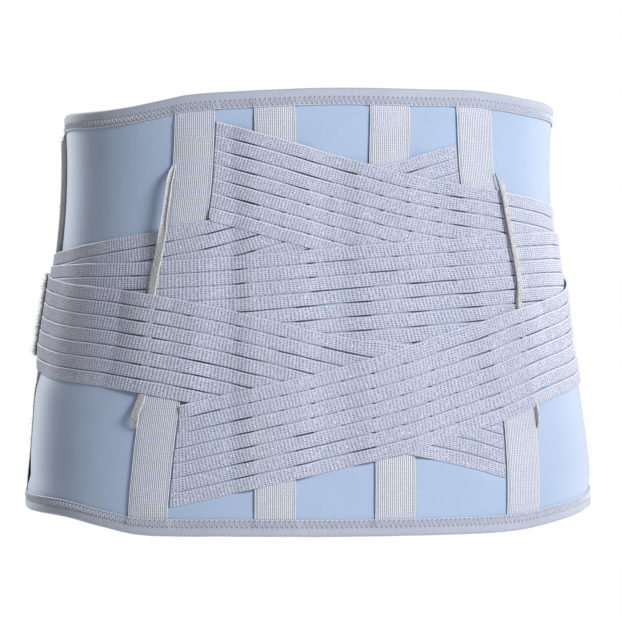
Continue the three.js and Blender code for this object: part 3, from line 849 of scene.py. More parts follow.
@effect("Tape edges", {"Cloth": VECTOR, "Tape Width": 10.0, "Edge Width": 1.0}, {"Mask": FLOAT})
def edge_group(wires, given, put):
    """A mask along both edges of a tape, for selvedges, painted groove shade and painted edge highlights."""
    across = wires.split(given["Cloth"])["Y"]
    nearer = wires.math("MINIMUM", across, wires.math("SUBTRACT", given["Tape Width"], across))
    outer, inner = [wires.math("MULTIPLY", given["Edge Width"], share) for share in (1.3, 0.7)]
    wires.feed(put["Mask"], wires.rise(nearer, outer, inner))


class Finish:
    """One fabric material with its shader, ready for colour, roughness and relief."""

    def __init__(self, name, roughness, sheen, specular=0.25):
        self.material = bpy.data.materials.new(name)
        self.material.use_nodes = True
        self.wires = Wiring(self.material.node_tree)
        self.shader = self.material.node_tree.nodes["Principled BSDF"]
        self.shader.inputs["Roughness"].default_value = roughness
        self.shader.inputs["Sheen Weight"].default_value = sheen
        self.shader.inputs["Sheen Roughness"].default_value = 0.5
        self.shader.inputs["Specular IOR Level"].default_value = specular
        self.cloth = self.wires.add("ShaderNodeUVMap", uv_map=CLOTH_MAP).outputs["UV"]

    def group(self, tree, **values):
        node = self.wires.add("ShaderNodeGroup", node_tree=tree)
        for name, value in values.items():
            self.wires.feed(node.inputs[name.replace("_", " ")], value)
        return node.outputs

    def fibres(self, fine, coarse):
        return self.group(fuzz_group(), Fine_Scale=fine, Coarse_Scale=coarse)

    def edges(self, tape, edge):
        return self.group(edge_group(), Cloth=self.cloth, Tape_Width=tape, Edge_Width=edge)["Mask"]

    def tinted(self, base, *drifts):
        """Make a colour lighter and darker by masks, each with its amount."""
        for mask, amount in drifts:
            base = self.group(drift_group(), Colour=opaque(base), Mask=mask, Amount=amount)["Colour"]
        return base

    def painted(self, base, mask, amount, tint):
        """Lay a colour over another by a share of a mask."""
        return self.wires.blend(self.wires.math("MULTIPLY", mask, amount), base, tint)

    def finish(self, base, height, depth, roughness=None):
        bump = self.wires.add("ShaderNodeBump", {"Height": height, "Distance": depth * MM, "Strength": 1.0})
        self.wires.feed(self.shader.inputs["Base Color"], base)
        self.wires.feed(self.shader.inputs["Normal"], bump.outputs["Normal"])
        self.wires.feed(self.shader.inputs["Roughness"], roughness)
        return self.material


def panel_material():
    look = Finish("brushed_knit", roughness=0.85, sheen=0.62)
    fibres = look.fibres(1400.0, 28.0)
    knit = look.group(weave_group(), Cloth=look.cloth, Along_Pitch=0.9, Across_Pitch=0.7)
    base = look.tinted(
        settings("panel").colour, (fibres["Fine"], 0.1), (fibres["Coarse"], 0.07), (knit["Gap"], -0.04),
    )
    height = look.wires.math("MULTIPLY_ADD", knit["Height"], 0.35, fibres["Fine"])
    rough = look.wires.math("MULTIPLY_ADD", fibres["Coarse"], 0.2, 0.75)
    return look.finish(base, height, 0.12, rough)


def binding_material():
    """Folded tape with needle holes along its seam, painted shade where the seam presses it in, and a
    painted highlight on its lip.
    """
    chosen, middle = settings("binding"), stitch_middle()
    look = Finish("folded_tape", roughness=0.75, sheen=0.3)
    wires = look.wires
    fibres = look.fibres(1100.0, 40.0)
    weave = look.group(weave_group(), Cloth=look.cloth, Along_Pitch=0.55, Across_Pitch=0.62)
    parts = wires.split(look.cloth)
    rows = []
    for side in (-0.5, 0.5):
        start = max(side, 0.0) * chosen.stitch_pitch
        along = wires.wave(wires.math("ADD", parts["X"], start), chosen.stitch_pitch)
        off = wires.off_from(parts["Y"], middle + side * chosen.stitch_height)
        rows.append(wires.math("MULTIPLY", wires.rise(along, 0.5, 0.95), wires.rise(off, 1.0, 0.2)))
    holes = wires.math("MAXIMUM", *rows)
    from_middle = wires.off_from(parts["Y"], middle)
    seam_shade = wires.rise(from_middle, 0.62 * chosen.stitch_height, 0.42 * chosen.stitch_height)
    lip = wires.rise(parts["Y"], chosen.width - 0.9, chosen.width - 0.5)
    dark = scaled(chosen.colour, 0.2)
    base = look.tinted(
        chosen.colour, (fibres["Fine"], 0.12), (fibres["Coarse"], 0.08), (weave["Gap"], -0.08),
    )
    # Painted shade in the stitch zone, where the seam presses the flap in.
    base = look.painted(base, seam_shade, 0.1, dark)
    base = look.painted(base, holes, 0.65, dark)
    # Painted highlight: the lip at the free edge is lightened with the thread's colour where it catches the
    # light.
    base = look.painted(base, lip, 0.45, chosen.thread_colour)
    height = wires.math("MULTIPLY_ADD", weave["Height"], 0.3, fibres["Fine"])
    return look.finish(base, wires.math("MULTIPLY_ADD", holes, -1.5, height), 0.14)


def thread_material():
    look = Finish("sewing_thread", roughness=0.5, sheen=0.1)
    fibres = look.fibres(2500.0, 300.0)
    twist = look.group(weave_group(), Cloth=look.cloth, Along_Pitch=0.35, Across_Pitch=0.5)
    base = look.tinted(settings("binding").thread_colour, (fibres["Coarse"], 0.15), (twist["Gap"], -0.1))
    return look.finish(base, twist["Height"], 0.05)


def channel_material():
    """Woven tape with a pale cord along each edge and painted shade of a groove beside it."""
    chosen = settings("channel")
    look = Finish("woven_tape", roughness=0.7, sheen=0.15)
    weave = look.group(
        weave_group(), Cloth=look.cloth, Along_Pitch=1.1, Across_Pitch=chosen.line_pitch,
        Wander=0.5, Wander_Scale=330.0,
    )
    fibres = look.fibres(1500.0, 45.0)
    edges, groove_shade = [look.edges(chosen.width, share * chosen.selvedge) for share in (1.0, 1.75)]
    base = look.tinted(
        chosen.colour,
        (weave["Lines"], 0.3), (weave["Gap"], -0.45), (fibres["Fine"], 0.3), (fibres["Coarse"], 0.06),
    )
    # Painted shade of a groove just inside each cord.
    base = look.painted(base, groove_shade, 0.6, scaled(chosen.colour, 0.3))
    base = look.wires.blend(edges, base, look.tinted(chosen.selvedge_colour, (fibres["Fine"], 0.2)))
    height = look.wires.math("MULTIPLY_ADD", fibres["Fine"], 0.3, weave["Height"])
    return look.finish(base, height, 0.16)


def band_material():
    """Ribbed elastic: gaps that show where the ribs stand open, bright loops and a painted highlight on
    upper edges.
    """
    chosen, strip = settings("band"), strip_width()
    look = Finish("ribbed_elastic", roughness=0.65, sheen=0.12, specular=0.32)
    wires = look.wires
    elastic = look.group(
        elastic_group(), Cloth=look.cloth, Rib_Pitch=chosen.rib_pitch, Gap_Pitch=chosen.dot_pitch,
        Wander=0.55, Wander_Scale=420.0,
    )
    fibres = look.fibres(1600.0, 45.0)
    edges = look.edges(strip, 0.38)
    wide_open = wires.split(wires.add("ShaderNodeUVMap", uv_map=OPEN_MAP).outputs["UV"])["X"]
    middle = [(low + high) / 2 for low, high in zip(chosen.valley_colour, chosen.rib_colour)]
    base = look.tinted(
        middle,
        (elastic["Rib"], wires.math("MULTIPLY", wide_open, 0.1)),
        (elastic["Row"], -0.24),
        (elastic["Loop"], wires.math("MULTIPLY", wide_open, 0.22)),
    )
    gaps = wires.rise(elastic["Gap"], 0.14, 0.6)
    broken = wires.rise(fibres["Fine"], 0.72, 0.42)
    for share in (broken, wires.math("SUBTRACT", 1.0, edges), wide_open):
        gaps = wires.math("MULTIPLY", gaps, share)
    base = look.painted(base, gaps, 0.85, chosen.dot_colour)
    base = wires.blend(wires.rise(fibres["Fine"], 0.52, 0.62), base, scaled(chosen.rib_colour, 1.45))
    base = look.tinted(base, (fibres["Coarse"], 0.06))
    # Painted highlight along each strip's upper edge, stronger towards the sides where the ribs stand less
    # open.
    upper = wires.rise(wires.split(look.cloth)["Y"], strip - 0.85, strip - 0.45)
    edge_highlight_strength = wires.math("MULTIPLY_ADD", wires.rise(wide_open, 0.85, 0.65), 0.4, 0.4)
    base = look.painted(base, upper, edge_highlight_strength, chosen.edge_highlight_colour)
    height = wires.math("MULTIPLY_ADD", gaps, -0.8, elastic["Rib"])
    return look.finish(base, wires.math("MULTIPLY_ADD", fibres["Fine"], 0.5, height), 0.14)


def keeper_material(name, shaded):
    """Brushed tape with painted highlights on its edges; up to the shaded share of its width, painted shade
    for the hollow of its fold.
    """
    look = Finish(name, roughness=0.95, sheen=0.2)
    fibres = look.fibres(1100.0, 120.0)
    chosen = settings("keeper")
    # A keeper with a shaded share is made lighter all over, as painted light on the lit face of its fold.
    plain = scaled(chosen.colour, 1.2 if shaded else 1.0)
    # Painted highlight along both edges of the tape.
    base = look.painted(plain, look.edges(chosen.width, 0.7), 0.6, scaled(chosen.colour, 1.8))
    if shaded:
        # Painted shade on the part of the tape that lies in the hollow of its fold.
        line = shaded * chosen.width
        hollow = look.wires.rise(look.wires.split(look.cloth)["Y"], line + 0.25, line - 0.25)
        base = look.painted(base, hollow, 0.8, scaled(chosen.colour, 0.25))
    base = look.tinted(base, (fibres["Fine"], 0.8), (fibres["Coarse"], 0.15))
    return look.finish(base, fibres["Fine"], 0.4)


def pile_material(name, tint):
    look = Finish(name, roughness=1.0, sheen=0.4)
    fibres = look.fibres(900.0, 30.0)
    base = look.tinted(tint, (fibres["Fine"], 0.45), (fibres["Coarse"], 0.12))
    return look.finish(base, fibres["Fine"], 0.4)


# The panel's face lies a little back from its even form and isn't quite even.
PANEL_FACE_BACK = 0.08
PANEL_UNEVEN = 0.036
PANEL_STATIONS, PANEL_ROWS = 161, 41


def make_panel():
    """The panel stops inside the fold of each binding."""
    inset = settings("binding").thickness + LAYER_GAP
    angles = np.linspace(-PANEL_END_ANGLE, PANEL_END_ANGLE, PANEL_STATIONS)[:, None]
    low, high = bottom_edge(angles) + inset, top_edge(angles) - inset
    height = low + (high - low) * np.linspace(0, 1, PANEL_ROWS)[None, :]
    draw = np.random.default_rng(SEED)
    uneven = slow_waves(angles, draw, (31, 47, 19), PANEL_UNEVEN)
    uneven = uneven + slow_waves(height, draw, (60, 95), PANEL_UNEVEN)
    arc = distances_along(angles[:, 0], 0.0)
    face = body_point(angles, height, uneven - PANEL_FACE_BACK + panel_swell(angles, height))
    back = body_point(angles, height, -settings("panel").thickness)
    place = paired(arc[:, None], height)
    parts = Parts()
    parts.sweep(face_and_back(face, back), face_and_back(place, place))
    panel = parts.build("back_panel_cloth", panel_material(), "panel", "back_panel")


# The middle of the zigzag is this far from the flap's free edge.
STITCH_FROM_FREE_EDGE = 2.9
# The fold is round down to a drop from the edge. The flap next to it stands higher by a roll, which
# fades out between two drops.
FOLD_DROP = 1.7
FOLD_ROLL = 0.06
ROLL_FADE = (6.2, 3.4)
# The flap is pressed in by this much all over. A lip rises between two distances from its free edge.
FLAP_PRESSED = 0.25
LIP_HEIGHT = 0.2
LIP_FROM_FREE_EDGE = (1.4, 0.5)
# The flap climbs over a channel's end from the first distance before the channel to the second inside
# it, and over these drops from its edge.
CHANNEL_CLIMB = (-3.5, 0.5)
CLIMB_DROPS = (3.0, 8.0)
# How deep and how far the ends of the stitches draw the flap in, and how far the tape wanders.
PUCKER = 0.16
PUCKER_REACH = 1.4
BINDING_WANDER = 0.075
# Points of the tape's section: the insets are distances from the free edge, the drops from the fold.
LIP_INSETS = (0.0, 0.25, 0.9)
FLAP_DROPS = (9.0, 8.2, 7.4, 6.6, 5.8, 5.0, 4.2, 3.4, 2.5)
INNER_DROP = 6.0
UNDER_DROPS = (2.0, 5.5)
UNDER_INSET = 0.4
# The free edge is thinner by a share of the tape's thickness, and the pressed flap by a distance.
FREE_EDGE_THINNED = 0.55
FLAP_THINNED = 0.2
STATIONS_PER_STITCH = 4
# Along one stitch: where its thread has points, how deep its ends sink and how high it stands, as
# shares of the thread's radius.
STITCH_SHARES = (0.0, 0.14, 0.36, 0.64, 0.86, 1.0)
THREAD_SIDES = 5
THREAD_SUNK = 1.2
THREAD_HUMP = 2.0


def stitch_middle():
    return settings("binding").width - STITCH_FROM_FREE_EDGE


def lift_over_channels(angle, height):
    """How far the free half of a binding's flap is raised where a channel runs under it."""
    raised = [smooth_rise(*CHANNEL_CLIMB, depth_inside(name, angle, height)) for name in CHANNEL_PATHS]
    return CHANNEL_END_THICKNESS * np.max(raised, axis=0)


def binding_face(angle, drop, edge, up):
    """Stand-off of the outer face of a binding at a drop from its edge."""
    chosen = settings("binding")
    lip_low, lip_high = [chosen.width - inset for inset in LIP_FROM_FREE_EDGE]
    roll = FOLD_ROLL * smooth_rise(*ROLL_FADE, drop)
    lip = LIP_HEIGHT * smooth_rise(lip_low, lip_high, drop)
    lift = lift_over_channels(angle, edge - up * chosen.width) * smooth_rise(*CLIMB_DROPS, drop)
    return LAYER_GAP + chosen.thickness - FLAP_PRESSED + roll + lip + lift


def binding_section(angle, along, edge_height, up):
    """Drops from the edge and stand-offs round a binding's section: flap, fold, inner flap and back."""
    chosen = settings("binding")
    width, skin = chosen.width, chosen.thickness
    inside = -settings("panel").thickness - LAYER_GAP
    outer = np.array([*(width - inset for inset in LIP_INSETS), *FLAP_DROPS])
    outer_off = binding_face(angle, outer, edge_height, up)
    near_seam = np.exp(-((outer - stitch_middle()) / PUCKER_REACH) ** 2)
    drawn = PUCKER * np.cos(2 * np.pi * along / chosen.stitch_pitch)[:, None] * near_seam
    outer_off = outer_off - np.abs(drawn)
    outer_off[:, 0] -= FREE_EDGE_THINNED * skin
    turn = np.radians(np.linspace(0, 180, 11))[1:-1]
    crown_top, crown_low = binding_face(angle, FOLD_DROP, edge_height, up), inside - skin
    fold_off = (crown_top + crown_low) / 2 + (crown_top - crown_low) / 2 * np.cos(turn)
    under = np.array([*UNDER_DROPS, width - UNDER_INSET])
    under_off = binding_face(angle, under, edge_height, up) - skin + FLAP_THINNED
    under_off = np.maximum(under_off - FOLD_ROLL * smooth_rise(*ROLL_FADE, under), LAYER_GAP)
    section = (
        (outer, outer_off),
        (FOLD_DROP * (1 - np.sin(turn)), fold_off),
        (np.array([FOLD_DROP, INNER_DROP, width]), inside - skin),
        (np.array([width, UNDER_DROPS[0]]), inside),
        (under, under_off),
    )
    return [
        np.concatenate([np.broadcast_to(row[part], (len(along), len(row[0]))) for row in section], axis=1)
        for part in (0, 1)
    ]


def make_seam(name, edge, up, run, angles, material):
    """Zigzag stitches along a binding; angles are by the run along its edge."""
    chosen, middle = settings("binding"), stitch_middle()
    pitch, radius = chosen.stitch_pitch, chosen.thread / 2
    share = np.array(STITCH_SHARES)
    sides = np.radians(np.arange(THREAD_SIDES) * FULL_TURN / THREAD_SIDES)
    hump = radius * (THREAD_HUMP * np.sin(np.pi * share) ** 0.5 - THREAD_SUNK)
    seam = Parts()
    for number in range(1, int(run[-1] / pitch * 2) - 2):
        along = number * pitch / 2 + share * pitch / 2
        way = 1 if number % 2 else -1
        drop = middle + way * chosen.stitch_height / 2 * (1 - 2 * share)
        angle = np.interp(along, run, angles)
        off = binding_face(angle, drop, edge(angle), up) + hump
        drops = drop[:, None] + radius * np.cos(sides)
        thread = body_point(
            angle[:, None], edge(angle)[:, None] - up * drops, off[:, None] + radius * np.sin(sides),
        )
        seam.sweep(thread, paired(along[:, None], drops))
    return seam.build(name + "_stitches", material, "binding")


def make_binding(name, edge, up, material, thread):
    """A tape folded over an edge, pressed down by a zigzag seam along the half next to the panel."""
    chosen = settings("binding")
    fine = np.linspace(-PANEL_END_ANGLE, PANEL_END_ANGLE, 2001)
    run = distances_along(fine, edge(fine))
    step = chosen.stitch_pitch / STATIONS_PER_STITCH
    along = np.arange(int(run[-1] / step) + 1) * step
    angle = np.interp(along, run, fine)[:, None]
    drop, off = binding_section(angle, along, edge(angle), up)
    wander = slow_waves(along, np.random.default_rng(SEED + 1), (38, 61, 23), BINDING_WANDER)[:, None]
    height = edge(angle) - up * (drop + wander * smooth_rise(chosen.width, 0, drop))
    parts = Parts()
    parts.sweep(body_point(angle, height, off), paired(along[:, None], drop))
    piece = parts.build(name + "_tape", material, "binding", name)
    stitches = make_seam(name, edge, up, run, fine, thread)
    tape_width = 2 * chosen.width + settings("panel").thickness + 2 * chosen.thickness


# A channel is sewn down along two lines this far inside its edges. Its ends are pressed flat and tucked
# under the bindings, and it rises to its full height over these distances beyond the tuck.
CHANNEL_FOOT = 2.4
CHANNEL_END_THICKNESS = 0.9
CHANNEL_TUCK = 2.5
CHANNEL_RISE = (-1.0, 7.0)
CHANNEL_STEP = 3.0
CHANNEL_FACE = 73
CHANNEL_SWAY = 0.18
CORD_POINTS = 7
# The face starts this many cord radii in; its dome is rounder than a sine, and its lines are shallow.
FACE_FROM_EDGE = 2.2
DOME_POWER = 0.7
LINE_RELIEF = 0.05


def make_channel(name, material):
    """A woven tape over a stay: domed in the middle, with fine lines and a cord along each edge."""
    chosen = settings("channel")
    width, thin, lift = chosen.width, chosen.edge_thickness, chosen.edge_lift
    cord = chosen.selvedge / 2
    across = np.linspace(FACE_FROM_EDGE * cord, width - FACE_FROM_EDGE * cord, CHANNEL_FACE)
    dome = thin + (chosen.thickness - thin) * np.sin(np.pi * across / width) ** DOME_POWER
    lines = LINE_RELIEF * np.cos(2 * np.pi * across / chosen.line_pitch)
    turn = np.radians(np.linspace(180, 0, CORD_POINTS))
    round_cord, cord_off = cord * np.cos(turn), lift + cord + cord * np.sin(turn)
    foot = [width - cord, width - CHANNEL_FOOT, CHANNEL_FOOT, cord]
    section_across = np.concatenate([cord + round_cord, across, width - cord + round_cord, foot])
    section_off = np.concatenate([cord_off, dome + lines, cord_off, [lift, 0.0, 0.0, lift]])
    on_face = np.zeros(len(section_off), bool)
    on_face[CORD_POINTS:CORD_POINTS + CHANNEL_FACE] = True

    clear = settings("binding").width - CHANNEL_TUCK
    low = bottom_edge(channel_angle(name, HIP["height"])) + clear
    high = top_edge(channel_angle(name, WAIST["height"])) - clear
    level = np.linspace(low, high, int((high - low) / CHANNEL_STEP) + 1)[:, None]
    middle = channel_angle(name, level)
    per_degree = mm_per_degree(middle, level)
    angle = middle + (section_across[None, :] - width / 2) / per_degree
    slant_low, slant_high = bottom_edge(angle) + clear, top_edge(angle) - clear
    height = slant_low + (slant_high - slant_low) * (level - low) / (high - low)
    from_tuck = np.minimum(height - slant_low, slant_high - height) - CHANNEL_TUCK
    risen = smooth_rise(*CHANNEL_RISE, from_tuck)
    flat_off = np.where(
        on_face, CHANNEL_END_THICKNESS, section_off * CHANNEL_END_THICKNESS / (lift + 2 * cord),
    )
    off = flat_off * (1 - risen) + section_off * risen
    draw = np.random.default_rng(SEED + 2 + int(abs(channel_angle(name, 0.0))))
    angle = angle + slow_waves(level, draw, (70, 41, 110), CHANNEL_SWAY) / per_degree
    parts = Parts()
    parts.sweep(body_point(angle, height, LAYER_GAP + off), paired(height, section_across[None, :]))
    piece = parts.build(name + "_tape", material, "channel", name)


# A slit is shut up to the first distance from the ends of its strip and open from the second, and
# this share of it stays open where it is shut.
SLIT_OPENS = (3.0, 14.0)
SLIT_LEFT = 0.12
# Round the sides the slits are drawn in by this share, over these angles.
SLIT_AT_SIDES = 0.6
SIDES = (56.0, 70.0)
# A sewn end stops this far from its channel, on a track that runs on past it by an angle, and its
# slant fades out along the strip.
SEWN_CLEARANCE = 0.25
SEWN_SPARE_ANGLE = 9.0
END_FADE = 16.0
# Stations along a strip, and the share of a step that they keep clear of its ends.
STATIONS_PER_RIB = 3
LEAST_STATION = 0.2
# The lowest strip's first corner is rounded on this band.
ROUNDED_CORNER = {"upper_band_to_right": 2.6}
# A strip's face from its lower and from its upper edge inwards: inset and share of the thickness.
# The upper edge is a soft bead, and the tilt makes it stand proud of the strip above.
STRIP_LOW = ((0.0, 0.2), (0.14, 0.6), (0.45, 0.92), (1.1, 1.0))
STRIP_HIGH = ((0.0, 0.15), (0.1, 0.55), (0.26, 0.9), (0.5, 1.12), (0.85, 1.1), (1.4, 1.0))
STRIP_UNDERSIDE_INSET = 0.3
STRIP_TILT = 0.16
STRIP_WANDER = 0.17
STRIP_LIFT = 0.05


def strip_pitch():
    chosen = settings("band")
    return (chosen.width + chosen.slit) / chosen.strips


def strip_width():
    return strip_pitch() - settings("band").slit


def band_track(name):
    """The middle of a band at close steps: distance along, angle, height and tilt."""
    path, sewn_to = BANDS[name]["path"], BANDS[name]["sewn_to"]
    first, last = -BAND_END_ANGLE, BAND_END_ANGLE
    if sewn_to and side_of(sewn_to) < 0:
        first = path[0][0] - SEWN_SPARE_ANGLE
    elif sewn_to:
        last = path[-1][0] + SEWN_SPARE_ANGLE
    angle = np.linspace(first, last, 3001)
    height = band_height(name, angle)
    return distances_along(angle, height, 1.0), angle, height, np.arctan(band_slope(name, angle))


def band_place(track, along, line):
    """Angle and height at a distance along a band and a distance above its middle."""
    angle, height, tilt = [np.interp(along, track[0], values) for values in track[1:]]
    height = height + line * np.cos(tilt)
    return angle - line * np.sin(tilt) / mm_per_degree(angle, height), height


def band_ends(name, track, lines):
    """Where each line along a band starts and ends: a sewn end stops at the edge of its channel."""
    sewn_to, runs = BANDS[name]["sewn_to"], track[0]
    starts, ends = np.zeros(len(lines)), np.full(len(lines), runs[-1])
    if sewn_to:
        side = side_of(sewn_to)
        half = settings("channel").width / 2 + SEWN_CLEARANCE
        for index, line in enumerate(lines):
            angle, height = band_place(track, runs, line)
            clear = side * (channel_angle(sewn_to, height) - angle) * mm_per_degree(angle, height) - half
            free = runs[clear > 0]
            if side < 0:
                starts[index] = free[0]
            else:
                ends[index] = free[-1]
    return starts, ends


def pulled(name, angle, line):
    """How far a line along a band is pulled out of its even place."""
    if name not in PULLED_EDGES:
        return 0.0
    pull = read_rows(PULLED_EDGES[name], angle)
    toward_upper = line / settings("band").width
    near_upper, near_lower = np.clip(0.5 + toward_upper, 0, 1), np.clip(0.5 - toward_upper, 0, 1)
    return pull * np.where(pull > 0, near_upper, near_lower) ** PULL_FADE


def strip_edges(name, strip, along, angle, draw):
    """The lower and the upper edge of a strip along its length, as distances above the band's middle."""
    chosen = settings("band")
    low = strip * strip_pitch() - chosen.width / 2
    high = low + strip_width()
    from_end = np.minimum(along - along[0], along[-1] - along)
    drawn_in = SLIT_AT_SIDES * smooth_rise(*SIDES, np.abs(angle))
    shut = np.maximum(1 - smooth_rise(*SLIT_OPENS, from_end), drawn_in)
    closing = chosen.slit / 2 * (1 - SLIT_LEFT) * shut
    low_edge = low - (closing if strip > 0 else 0)
    high_edge = high + (closing if strip < chosen.strips - 1 else 0)
    low_edge = low_edge + slow_waves(along, draw, (37, 71, 19), STRIP_WANDER)
    high_edge = high_edge + slow_waves(along, draw, (43, 83, 23), STRIP_WANDER)
    low_edge, high_edge = [edge + pulled(name, angle, edge) for edge in (low_edge, high_edge)]
    corner = ROUNDED_CORNER.get(name, 0.0) if strip == 0 else 0.0
    if corner:
        short = np.clip(corner - (along - along[0]), 0, corner)
        low_edge = low_edge + corner - np.sqrt(corner ** 2 - short ** 2)
    return low_edge, high_edge


def make_band(name, material, draw):
    """Ribbed strips side by side, each resting on what lies under it."""
    chosen, pitch = settings("band"), strip_pitch()
    track, threads = band_track(name), BANDS[name]["threads"]
    runs, angles = track[:2]
    eased = np.diff(runs) / read_rows(threads, angles[1:], STRETCH_COLUMN)
    relaxed = np.concatenate([[0], np.cumsum(eased)])
    lean = np.tan(np.radians(read_rows(threads, angles, LEAN_COLUMN)))
    rise = np.array([share for inset, share in (*STRIP_LOW, *reversed(STRIP_HIGH))] + [0, 0])
    step = chosen.rib_pitch / STATIONS_PER_RIB
    parts, longest = Parts(), 0.0
    for strip in range(chosen.strips):
        low = strip * pitch - chosen.width / 2
        high = low + strip_width()
        starts, ends = band_ends(name, track, np.array([low, (low + high) / 2, high]))
        first, last = starts[1], ends[1]
        start, stop = np.interp([first, last], runs, relaxed)
        longest = max(longest, stop - start)
        first_mark = math.ceil(start / step + LEAST_STATION)
        last_mark = math.floor(stop / step - LEAST_STATION)
        marks = np.arange(first_mark, last_mark + 1) * step
        along = np.concatenate([[first], np.interp(marks, relaxed, runs), [last]])
        low_edge, high_edge = strip_edges(name, strip, along, np.interp(along, runs, angles), draw)
        lift = slow_waves(along, draw, (90, 53, 140), STRIP_LIFT) + STRIP_LIFT
        line = [low_edge + inset for inset, share in STRIP_LOW]
        line += [high_edge - inset for inset, share in reversed(STRIP_HIGH)]
        line += [high_edge - STRIP_UNDERSIDE_INSET, low_edge + STRIP_UNDERSIDE_INSET]
        line = np.stack(line, axis=1)
        across = (line - low) / (high - low)
        shifted = along[:, None]
        for shifts, from_end in ((starts - first, along - first), (ends - last, last - along)):
            slant = np.interp(across, [0, 0.5, 1], shifts)
            shifted = shifted + slant * (1 - smooth_rise(0, END_FADE, from_end))[:, None]
        angle, height = band_place(track, shifted, line)
        thread = np.interp(along[:, None] - np.interp(along, runs, lean)[:, None] * line, runs, relaxed)
        ribs = 0.5 + 0.5 * np.cos(2 * np.pi * thread / chosen.rib_pitch)
        tall = chosen.thickness + chosen.rib_height * ribs
        share = (line - low_edge[:, None]) / (high_edge - low_edge)[:, None]
        off = resting_stand_off(name, angle, height) + rise * tall + STRIP_TILT * share
        off = off + lift[:, None] * (rise > 0)
        parts.sweep(body_point(angle, height, off), paired(thread, share * strip_width()))
        wide_open = read_rows(threads, angle.ravel(), OPEN_COLUMN)
        parts.open.append(paired(wide_open, wide_open))
    piece = parts.build(name + "_elastic", material, "band", name)


# A keeper's end is gathered into its seam over a length, to a share of its width.
GATHERED_END = 7.0
GATHERED_SHARE = 0.35
KEEPER_FACE = 21
# A keeper on edge stands out by this share of its half width. Its edges are square but for a round.
KEEPER_ON_EDGE = 0.6
EDGE_POWER = 8
# Loose fibres on a keeper: how rough its face is, how many fibres, how they lean, length and width.
KEEPER_ROUGH = 0.06
KEEPER_FIBRES = 2400
KEEPER_FIBRE_LEAN = 0.6
KEEPER_FIBRE_LENGTH = (0.2, 0.55)
KEEPER_FIBRE_WIDTH = 0.18


def make_keeper(name, material, draw):
    """A narrow brushed tape that twists as it goes and stands clear of the bands."""
    chosen, row = settings("keeper"), KEEPERS[name]
    width, thick = chosen.width, chosen.thickness
    height, off = keeper_line(name)
    angle = read_rows(row["path"], height)
    turn, curl = [np.radians(read_rows(row[part], height)) for part in ("turn", "curl")]
    from_end = np.minimum(height - height[0], height[-1] - height)
    gathered = GATHERED_SHARE + (1 - GATHERED_SHARE) * smooth_rise(0, GATHERED_END, from_end)
    face = np.linspace(-1, 1, KEEPER_FACE)
    ridge, soft = row["ridge"]
    bends = np.tanh((face - ridge) / soft)
    bends = curl[:, None] * (bends - (bends[0] + bends[-1]) / 2) / (bends[-1] - bends[0])
    step = row["gathered"] * gathered[:, None] * width / (KEEPER_FACE - 1)
    sideways, outwards = [
        np.concatenate([np.zeros((len(height), 1)), np.cumsum(step * way(bends[:, 1:]), axis=1)], axis=1)
        for way in (np.cos, np.sin)
    ]
    sideways, outwards = [part - part[:, KEEPER_FACE // 2, None] for part in (sideways, outwards)]
    sink = np.maximum(0, -outwards.min(axis=1))
    off = off + thick / 2 + np.abs(np.sin(turn)) * width / 2 * KEEPER_ON_EDGE + sink
    centre, out = point_and_way_out(angle, height, off)
    side = unit(body_point(angle + 0.1, height, off) - body_point(angle - 0.1, height, off))
    cos, sin = np.cos(turn)[:, None], np.sin(turn)[:, None]
    wide, deep = side * cos + out * sin, out * cos - side * sin
    there_and_back = np.concatenate([np.arange(KEEPER_FACE), np.arange(KEEPER_FACE - 2, 0, -1)])
    shares = face[there_and_back]
    outer_or_inner = np.where(np.arange(len(shares)) < KEEPER_FACE, 1, -1)
    through = thick / 2 * np.sqrt(1 - shares ** EDGE_POWER) * outer_or_inner
    rough = draw.normal(0, KEEPER_ROUGH, (len(height), len(shares)))
    bends = bends[:, there_and_back]
    sideways = sideways[:, there_and_back] - through * np.sin(bends)
    outwards = outwards[:, there_and_back] + (through + rough) * np.cos(bends)
    stations = centre[:, None] + wide[:, None] * sideways[..., None] + deep[:, None] * outwards[..., None]
    parts = Parts()
    parts.sweep(stations, paired(height[:, None], width / 2 * shares[None, :] + width / 2))
    station = draw.integers(0, len(height), KEEPER_FIBRES)
    spot = draw.integers(0, len(shares), KEEPER_FIBRES)
    roots = stations[station, spot]
    away = unit(roots - centre[station]) + draw.normal(0, KEEPER_FIBRE_LEAN, (KEEPER_FIBRES, 3))
    tips = roots + away * draw.uniform(*KEEPER_FIBRE_LENGTH, (KEEPER_FIBRES, 1))
    parts.spikes(roots, tips, KEEPER_FIBRE_WIDTH, paired(height[station], 0.0))
    parts.build(name + "_tape", material, "keeper", name)


# Pile: fibres on a square millimetre, how they vary in length and lean, how thick they are and how
# deep they are rooted. They grow from this share of the cloth's thickness.
WING_PILE = 0.13
TAB_PILE = 1.2
PILE_LENGTHS = (0.5, 1.15)
PILE_LEAN = 0.45
PILE_WIDTH = 0.3
PILE_ROOTED = 0.3
PILE_FROM = 0.85
# At its edges a sheet keeps this share of its thickness, and it is rounded over these distances.
SHEET_EDGE = 0.45
WING_ROUNDING = 1.6
TAB_ROUNDING = 1.8
WING_CLEARANCE = 0.4
WING_STATIONS, WING_ROWS = 121, 41
TAB_STATIONS, TAB_ROWS = 81, 31


